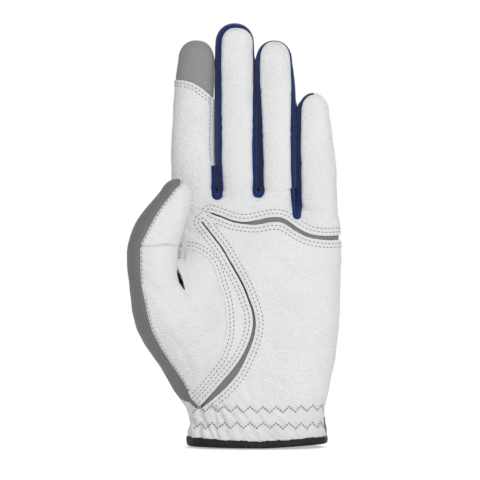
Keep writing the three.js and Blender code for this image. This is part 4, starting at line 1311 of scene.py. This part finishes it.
# ---------------------------------------------------------------- cuff
def cuff_place(a, z):
    """Places round the cuff at angles seen from above, with the directions out of it."""
    a, z = np.broadcast_arrays(np.asarray(a, float), np.asarray(z, float))
    at = lambda r: np.stack([r * np.cos(a), r * np.sin(a), z], 1)
    p = at(way_out(at, np.full(len(a), 60.0), 24))
    return p, unit(slope(palm_field, p))


def sew_binding():
    """The rim's binding, folded over the edge all round but for the slit."""
    half = SLIT["half"] * 0.62 + 0.5
    start, end = math.atan2(20.8, SLIT["x"] + half), math.atan2(20.8, SLIT["x"] - half) - 2 * math.pi
    a = np.linspace(start, end, 300)
    section = [(-0.5, 0.0), (0.35, 0.0), (0.8, 0.07), (1.0, 0.2), (1.08, 0.42), (1.05, 0.62), (0.95, 0.8), (0.7, 0.94),
               (0.2, 1.0), (-0.9, 0.98), (-1.6, 0.92), (-1.95, 0.7), (-1.95, 0.2), (-1.5, 0.03)]
    rings = []
    low, high = rim_low(np.cos(a), np.sin(a)), rim_high(np.cos(a), np.sin(a))
    high = high + 0.14 * np.sin(a * 9.0) + 0.12 * np.sin(a * 23 + 1) + 0.08 * np.sin(a * 51)
    for out, share in section:
        z = low + (high - low) * share
        p, n = cuff_place(a, z)
        wave = slack(p, n) * (0.9 if out > -0.6 else 0.2)
        rings.append(p + n * (out + wave + (0.1 * np.sin(a * 47) if out > 0.5 else 0))[:, None])
    points = np.stack(rings, 1)
    k = len(section)
    i, j = np.meshgrid(np.arange(len(a) - 1), np.arange(k), indexing="ij")
    i, j = i.ravel(), j.ravel()
    nxt = (j + 1) % k
    faces = np.stack([i * k + j, i * k + nxt, (i + 1) * k + nxt, (i + 1) * k + j], 1).tolist()
    last = (len(a) - 1) * k
    faces += [[j for j in range(k - 1, -1, -1)], [last + j for j in range(k)]]
    return mesh_piece("cuff_binding", points.reshape(-1, 3), faces, cloth("binding"), 70)


def sew_side_strip():
    """The end of the back's knit, turned out at the cuff's side seam."""
    a, z = np.meshgrid(np.radians(np.linspace(-4, 20, 16)), np.linspace(4.6, 14.6, 14))
    p, n = cuff_place(a.ravel(), z.ravel())
    p, n = p.reshape(*a.shape, 3), n.reshape(*a.shape, 3)
    out = 0.5 + 0.15 * np.sin(z * 0.9)
    return shell("cuff_side_strip", cloth("dark_knit"), p - n * 0.6, p + n * out[..., None], False)


def sew_zigzag(name, height, low=-30.5, high=33.8, tall=1.4, wide=3.25):
    """A zigzag row over the front of the cuff, three stitches to a leg."""
    sizes = bpy.context.scene.glove_sizes
    a = np.linspace(-math.pi, 0, 1400)
    p, _ = cuff_place(a, height)
    keep = (p[:, 0] > low) & (p[:, 0] < high)
    a, p = a[keep], p[keep]
    run = run_along(p)
    legs = int(run[-1] / wide)
    holes = np.arange(3 * legs + 1) / 3
    zig = tall * (1 - 2 * np.abs(holes % 2 - 1))
    drift = 0.25 * np.sin(holes * 0.35 + height)
    q, _ = cuff_place(np.interp(holes * wide, run, a), height + zig + drift)
    q, n = settle(hand_field, q, 5)
    q = q + n * (slack(q, n) + np.interp(q[:, 0], [-24, -8], [0.38, 0.16]))[:, None]
    starts, ends = q[:-1], q[1:]
    short = (ends - starts) * 0.12
    points, faces = thread_bits(starts + short, ends - short, (n[:-1] + n[1:]) / 2, sizes.thread * 1.15, sink=0.2)
    # dark discs of painted shade at each needle hole
    return mesh_piece(name, points, faces, cloth("white_thread")), painted_hole_shade(name + "_holes", q + n * 0.02, n)


def painted_hole_shade(name, p, n, radius=0.34, sides=8):
    """Dark discs of painted shade at the needle holes, a hair proud of the leather."""
    side = unit(np.cross(n, [0, 0, 1.0]))
    up = np.cross(side, n)
    turn = np.linspace(0, 2 * np.pi, sides, endpoint=False)
    ring = [p + side * radius * math.cos(a) + up * radius * math.sin(a) for a in turn]
    top, low = np.stack([r + n * 0.06 for r in ring], 1), np.stack([r - n * 0.25 for r in ring], 1)
    points = np.concatenate([top, low], 1).reshape(-1, 3)
    faces = []
    for k in range(len(p)):
        at = 2 * sides * k
        faces += [[at + i for i in range(sides)], [at + sides + i for i in range(sides - 1, -1, -1)]]
        faces += [[at + i, at + sides + i, at + sides + (i + 1) % sides, at + (i + 1) % sides] for i in range(sides)]
    return mesh_piece(name, points, faces, cloth("holes"))


# ---------------------------------------------------------------- closure
TAB = {"root": -19.0, "tip": box_mm("tab_leather")[1][0], "low": box_mm("tab_leather")[0][2],
       "high": box_mm("tab_leather")[1][2], "corner": 9.0}
TAB_BEND = (-13.0, -8.0)  # x between which the tab's leather would turn; the tab is not turned


def tab_lift(x):
    return np.interp(x, [-19, -17, -13.5, 40], [0.4, 0.9, 2.45, 2.45])


def bend_with_tab(piece):
    y = float(surface_y(np.array([sum(TAB_BEND) / 2]), np.array([26.0]), True)[0] + 3.2) * MM
    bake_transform(piece)


def rounded_outline(left, right, low, high, corner):
    """An open line round a flap, from its root along the bottom, round the free end and back."""
    turn = np.linspace(-math.pi / 2, math.pi / 2, 60)
    middle = np.linspace(0, 1, 200)[:, None]
    c = (right - corner, low + corner), (right - corner, high - corner)
    first = np.array([[left, low]]) * (1 - middle) + np.array([[c[0][0], low]]) * middle
    one = np.stack([c[0][0] + corner * np.cos(turn[:30]), c[0][1] + corner * np.sin(turn[:30])], 1)
    two = np.stack([c[1][0] + corner * np.cos(turn[30:]), c[1][1] + corner * np.sin(turn[30:])], 1)
    last = np.array([[c[1][0], high]]) * (1 - middle) + np.array([[left, high]]) * middle
    return np.vstack([first, one, two, last])


def sew_closure():
    """Loop pad, hook pad and the leather tab that closes the slit."""
    low, high = box_mm("loop_pad")
    rows = rounded_rows(low[2], high[2], low[0], high[0], 2.5, 16)
    loop = patch("loop_pad", cloth("hook"), rows, 0.35, 0.8)
    low, high = box_mm("tab_hook_pad")
    rows = rounded_rows(low[2], high[2], low[0], high[0], 4.0, 18)
    hook = patch("tab_hook_pad", cloth("hook"), rows, 1.25, 1.15)
    rows = rounded_rows(TAB["low"], TAB["high"], TAB["root"], TAB["tip"], TAB["corner"], 44)
    swell = lambda x, z: tab_lift(x) + 0.12 * np.sin(x / 4.1 + z / 7) * np.sin(z / 5.2 + 1)
    tab = patch("closure_tab", cloth("leather"), rows, swell, 1.35, edge=0.45, across=64)
    return loop, hook, tab


def tab_rows():
    line = rounded_outline(TAB["root"] + 2.2, TAB["tip"] - 2.0, TAB["low"] + 2.0, TAB["high"] - 2.0, TAB["corner"] - 2)
    p, n = on_back(line[:, 0], line[:, 1], tab_lift(line[:, 0]) + 1.38)
    z = np.linspace(TAB["low"] + 2.4, TAB["high"] - 2.4, 120)
    parts = stitch_rows([(p, n)])
    for x in (TAB["root"] + 2.2, TAB["root"] + 4.2):
        q, m = on_back(np.full(len(z), x), z, tab_lift(x) + 1.38)
        parts += stitch_rows([(q, m)])
    return parts


# ---------------------------------------------------------------- operators
def place(piece, body, kind, *nodes):
    """Puts a finished piece on its body, in place of CAD nodes."""
    if len(piece.data.polygons) == 0:
        raise RuntimeError(f"{piece.name} has no faces")
    if body is not None:
        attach(piece, body)
    if nodes:
        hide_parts(*nodes)
    return piece


def sew_hand(*labels):
    for label in labels:
        place(sew_hand_panel(label), "hand", PANELS[label], label)


def bend_with_thumb(piece):
    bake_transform(piece)


class GLOVE_OT_palm(Operator):
    """Sews the leather of the palm, the thumb's base and the front of the cuff"""
    bl_idname = "glove.palm"
    bl_label = "Palm leather"

    def execute(self, context):
        sew_hand("palm_leather", "finger_root_leather", "thumb_seam_band", "thenar_leather", "cuff_front_leather")
        return {"FINISHED"}


class GLOVE_OT_flex_lines(Operator):
    """Sews the stretch knit of the palm's two flex lines, a step below the leather"""
    bl_idname = "glove.flex_lines"
    bl_label = "Flex lines"

    def execute(self, context):
        sew_hand("crease_stretch_insert", "thenar_stretch_insert")
        return {"FINISHED"}


class GLOVE_OT_back(Operator):
    """Sews the back: its leather, the knuckles' stretch panel and the edging of the slit"""
    bl_idname = "glove.back"
    bl_label = "Back"

    def execute(self, context):
        sew_hand("back_leather", "finger_root_back", "knuckle_stretch_panel", "thumb_side_knit", "slit_edging")
        return {"FINISHED"}


class GLOVE_OT_webs(Operator):
    """Sews the knit between the roots of the fingers"""
    bl_idname = "glove.webs"
    bl_label = "Webs"

    def execute(self, context):
        webs = sew_hand_panel("web", "finger_webs")
        place(webs, "hand", "blue_knit", "web_index_middle", "web_middle_ring", "web_ring_little")
        return {"FINISHED"}


class GLOVE_OT_thumb(Operator):
    """Sews the thumb"""
    bl_idname = "glove.thumb"
    bl_label = "Thumb"

    def execute(self, context):
        for label, extra in (("thumb_front_leather", ("thumb_crease",)), ("thumb_back_knit", ())):
            piece = sew_hand_panel(label)
            bend_with_thumb(piece)
            place(piece, None, PANELS[label], label, *extra)
        return {"FINISHED"}


class GLOVE_OT_fingers(Operator):
    """Sews the four fingers"""
    bl_idname = "glove.fingers"
    bl_label = "Fingers"

    def execute(self, context):
        for name in FINGERS:
            p, n, faces, labels, s = finger_skin(name)
            for label, (kind, nodes) in FINGER_PANELS.items():
                if not (labels == label).any():
                    continue
                q, m, f, i = sub_skin(p, n, faces, labels == label)
                piece = sew(f"{name}_{label}", q, m, f, cloth(kind), finger_rise(name, label, q, m, s, i))
                bend_with_finger(piece)
                place(piece, None, kind, *(f"{name}_{node}" for node in nodes))
        return {"FINISHED"}


class GLOVE_OT_cuff(Operator):
    """Binds the cuff's rim and puts in its elastic with two zigzag rows"""
    bl_idname = "glove.cuff"
    bl_label = "Cuff"

    def execute(self, context):
        place(sew_binding(), "hand", "binding", "cuff_binding")
        low, high = box_mm("cuff_elastic")
        rows = [(z, -27.0, 27.0) for z in np.linspace(low[2], high[2], 8)]
        elastic = patch("cuff_elastic", cloth("elastic"), rows, -2.2, 1.0, back=False, across=60)
        place(elastic, "hand", "elastic", "cuff_elastic")
        place(sew_side_strip(), "hand", "dark_knit")
        for name, height in (("lower", ROWS[0]), ("upper", ROWS[1])):
            row, holes = sew_zigzag("zigzag_" + name, height)
            place(row, "hand", "white_thread", "zigzag_thread_" + name)
            # the discs of painted shade at the zigzag's needle holes
            place(holes, "hand", "holes")
        return {"FINISHED"}


class GLOVE_OT_closure(Operator):
    """Makes the slit's gusset, the hook and loop pads and the closing tab"""
    bl_idname = "glove.closure"
    bl_label = "Closure"

    def execute(self, context):
        rows = [(z, SLIT["x"] - 4.6, SLIT["x"] + 4.6) for z in np.linspace(6.5, SLIT["top"] - 1, 24)]
        gusset = patch("slit_gusset", cloth("elastic"), rows, -2.3, 0.7, across=14)
        place(gusset, "hand", "elastic", "slit_gusset")
        loop, hook, tab = sew_closure()
        place(loop, "hand", "hook", "loop_pad")
        place(hook, "tab", "hook", "tab_hook_pad")
        bend_with_tab(tab)
        place(tab, None, "leather", "tab_leather", "tab_anchor")
        return {"FINISHED"}


class GLOVE_OT_stitches(Operator):
    """Adds the rows of stitches beside the seams"""
    bl_idname = "glove.stitches"
    bl_label = "Stitches"

    def execute(self, context):
        rows = [
            (("palm_leather", "finger_root_leather", "thumb_seam_band"), "lines", (1.7, 3.6),
             lambda q, u: q[2] > 21 and u[1] < 0.3 and q[0] > -36),
            (("thumb_seam_band",), "hole", (1.8, 3.7),
             lambda q, u: q[2] > 24 and u[1] < 0.2 and not (q[0] < -35.4 and q[2] > 90)),
            (("thenar_leather",), "edge", (0.9,), lambda q, u: u[1] < 0.3 and q[2] < 76),
            (("back_leather",), "knuckle_low", (-1.6,), lambda q, u: u[1] > 0.3),
            (("finger_root_back",), "knuckle_high", (1.6,), lambda q, u: u[1] > 0.3),
            (("back_leather",), "slit", (SLIT["edging"] + 1.3,), lambda q, u: q[2] > 6.5 and u[1] > 0.3),
        ]
        place(stitch_piece("hand_stitches", hand_rows(rows)), "hand", "thread")
        piece = stitch_piece("thumb_stitches", hand_rows([
            (("thumb_front_leather",), "tube", (0.9,), lambda q, u: u[1] < 0.4 and (q[0] < -42 or q[2] > 104))]))
        bend_with_thumb(piece)
        place(piece, None, "thread")
        p, n, f, labels, s = finger_skin("index")
        parts = []
        for label in ("front", "back"):
            q, m, g, i = sub_skin(p, n, f, labels == label)
            q = q + m * finger_rise("index", label, q, m, s, i)[:, None]
            for level in (-1.5, -3.0):
                parts += stitch_rows(isolines(q, m, g, s["cap"][i], level))
            if label == "front":
                row = isolines(q, m, g, s["front"][i], 1.1)
                parts += stitch_rows(row, lambda at, u: at[0] > -32 and 143 < at[2] < 176)
        piece = stitch_piece("index_stitches", parts)
        bend_with_finger(piece)
        place(piece, None, "thread")
        piece = stitch_piece("tab_stitches", tab_rows())
        bend_with_tab(piece)
        place(piece, None, "thread")
        return {"FINISHED"}


def light(name, place_at, aim, width, height, watts):
    data = bpy.data.lights.new(name, "AREA")
    data.shape, data.size, data.size_y, data.energy = "RECTANGLE", width, height, watts
    lamp = add_object(name, data)
    lamp.location = place_at
    lamp.rotation_euler = (Vector(aim) - Vector(place_at)).to_track_quat("-Z", "Y").to_euler()


FLOOR = (0.8, -0.0006)  # half width and height in metres, a hair under the glove
FLOOR_GLOW = 0.45  # brings the floor up to the white around it for the camera only, and its shadow stays
SKY = (0.42, 1.0)  # the white surroundings as light on the glove, and as the camera sees them
CAMERA_FAR = 1.45  # metres to the palm's front, far enough for a nearly flat picture
PICTURE_WIDTH = 0.24  # metres across the picture at that distance


class GLOVE_OT_stage(Operator):
    """Adds the floor, the white surroundings, the lights and the camera"""
    bl_idname = "glove.stage"
    bl_label = "Stage"

    def execute(self, context):
        scene = context.scene
        mesh = bpy.data.meshes.new("floor")
        turn = [2 * math.pi * i / 96 for i in range(96)]
        rim = [(FLOOR[0] * math.cos(a), FLOOR[0] * math.sin(a), FLOOR[1]) for a in turn]
        mesh.from_pydata(rim, [], [tuple(range(96))])
        floor = add_object("floor", mesh)
        pale = bpy.data.materials.new("studio_paper_matt")
        pale.use_nodes = True
        tree = pale.node_tree
        shader = tree.nodes["Principled BSDF"]
        shader.inputs["Base Color"].default_value = linear("#f6f6f6")
        shader.inputs["Roughness"].default_value = 0.95
        shader.inputs["Emission Color"].default_value = (1, 1, 1, 1)
        seen = node(tree, "LightPath").outputs["Is Camera Ray"]
        glow = node(tree, "Math", {"operation": "MULTIPLY"}, i0=seen, i1=FLOOR_GLOW)
        tree.links.new(glow.outputs[0], shader.inputs["Emission Strength"])
        mesh.materials.append(pale)
        world = scene.world or bpy.data.worlds.new("studio")
        scene.world = world
        world.use_nodes = True
        tree = world.node_tree
        seen = node(tree, "LightPath").outputs["Is Camera Ray"]
        strength = node(tree, "MapRange", Value=seen, i1=0.0, i2=1.0, i3=SKY[0], i4=SKY[1])
        background = tree.nodes["Background"]
        background.inputs[0].default_value = (1, 1, 1, 1)
        tree.links.new(strength.outputs[0], background.inputs[1])
        light("key", (0.45, -1.0, 0.65), (0, 0, 0.1), 0.55, 0.55, 6.5)
        light("fill", (-0.8, -0.9, 0.3), (0, 0, 0.1), 0.7, 0.7, 1.6)
        light("low_fill", (0.0, -0.5, 0.02), (0, 0, 0.008), 0.35, 0.08, 0.17)
        light("back_fill", (0.3, 0.9, 0.7), (0, 0, 0.1), 0.7, 0.7, 5.5)
        data = bpy.data.cameras.new("camera")
        data.type, data.sensor_width = "PERSP", 36
        data.lens = data.sensor_width * CAMERA_FAR / PICTURE_WIDTH
        data.clip_end = 20
        camera = add_object("camera", data)
        camera.location = (-0.0085, -CAMERA_FAR - 0.01, 0.1035)
        camera.rotation_euler = (math.pi / 2, 0, 0)
        scene.camera = camera
        scene.view_settings.view_transform = "Standard"
        return {"FINISHED"}


OPERATORS = (GLOVE_OT_palm, GLOVE_OT_flex_lines, GLOVE_OT_back, GLOVE_OT_webs, GLOVE_OT_thumb, GLOVE_OT_fingers,
             GLOVE_OT_cuff, GLOVE_OT_closure, GLOVE_OT_stitches, GLOVE_OT_stage)


class GLOVE_PT_panel(Panel):
    bl_label = "Golf glove"
    bl_idname = "GLOVE_PT_panel"
    bl_space_type = "VIEW_3D"
    bl_region_type = "UI"
    bl_category = "Glove"

    def draw(self, context):
        for group in (context.scene.glove_sizes, context.scene.glove_colours):
            for key in group.__annotations__:
                self.layout.prop(group, key)
        for operator in OPERATORS:
            self.layout.operator(operator.bl_idname)


CLASSES = (GloveSizes, GloveColours, *OPERATORS, GLOVE_PT_panel)


def register():
    for item in CLASSES:
        bpy.utils.register_class(item)
    bpy.types.Scene.glove_sizes = PointerProperty(type=GloveSizes)
    bpy.types.Scene.glove_colours = PointerProperty(type=GloveColours)


def unregister():
    del bpy.types.Scene.glove_colours
    del bpy.types.Scene.glove_sizes
    for item in reversed(CLASSES):
        bpy.utils.unregister_class(item)


def main():
    register()
    for call in (bpy.ops.glove.palm, bpy.ops.glove.flex_lines, bpy.ops.glove.back, bpy.ops.glove.webs,
                 bpy.ops.glove.thumb, bpy.ops.glove.fingers, bpy.ops.glove.cuff, bpy.ops.glove.closure,
                 bpy.ops.glove.stitches, bpy.ops.glove.stage):
        call()


if __name__ == "__main__":
    main()
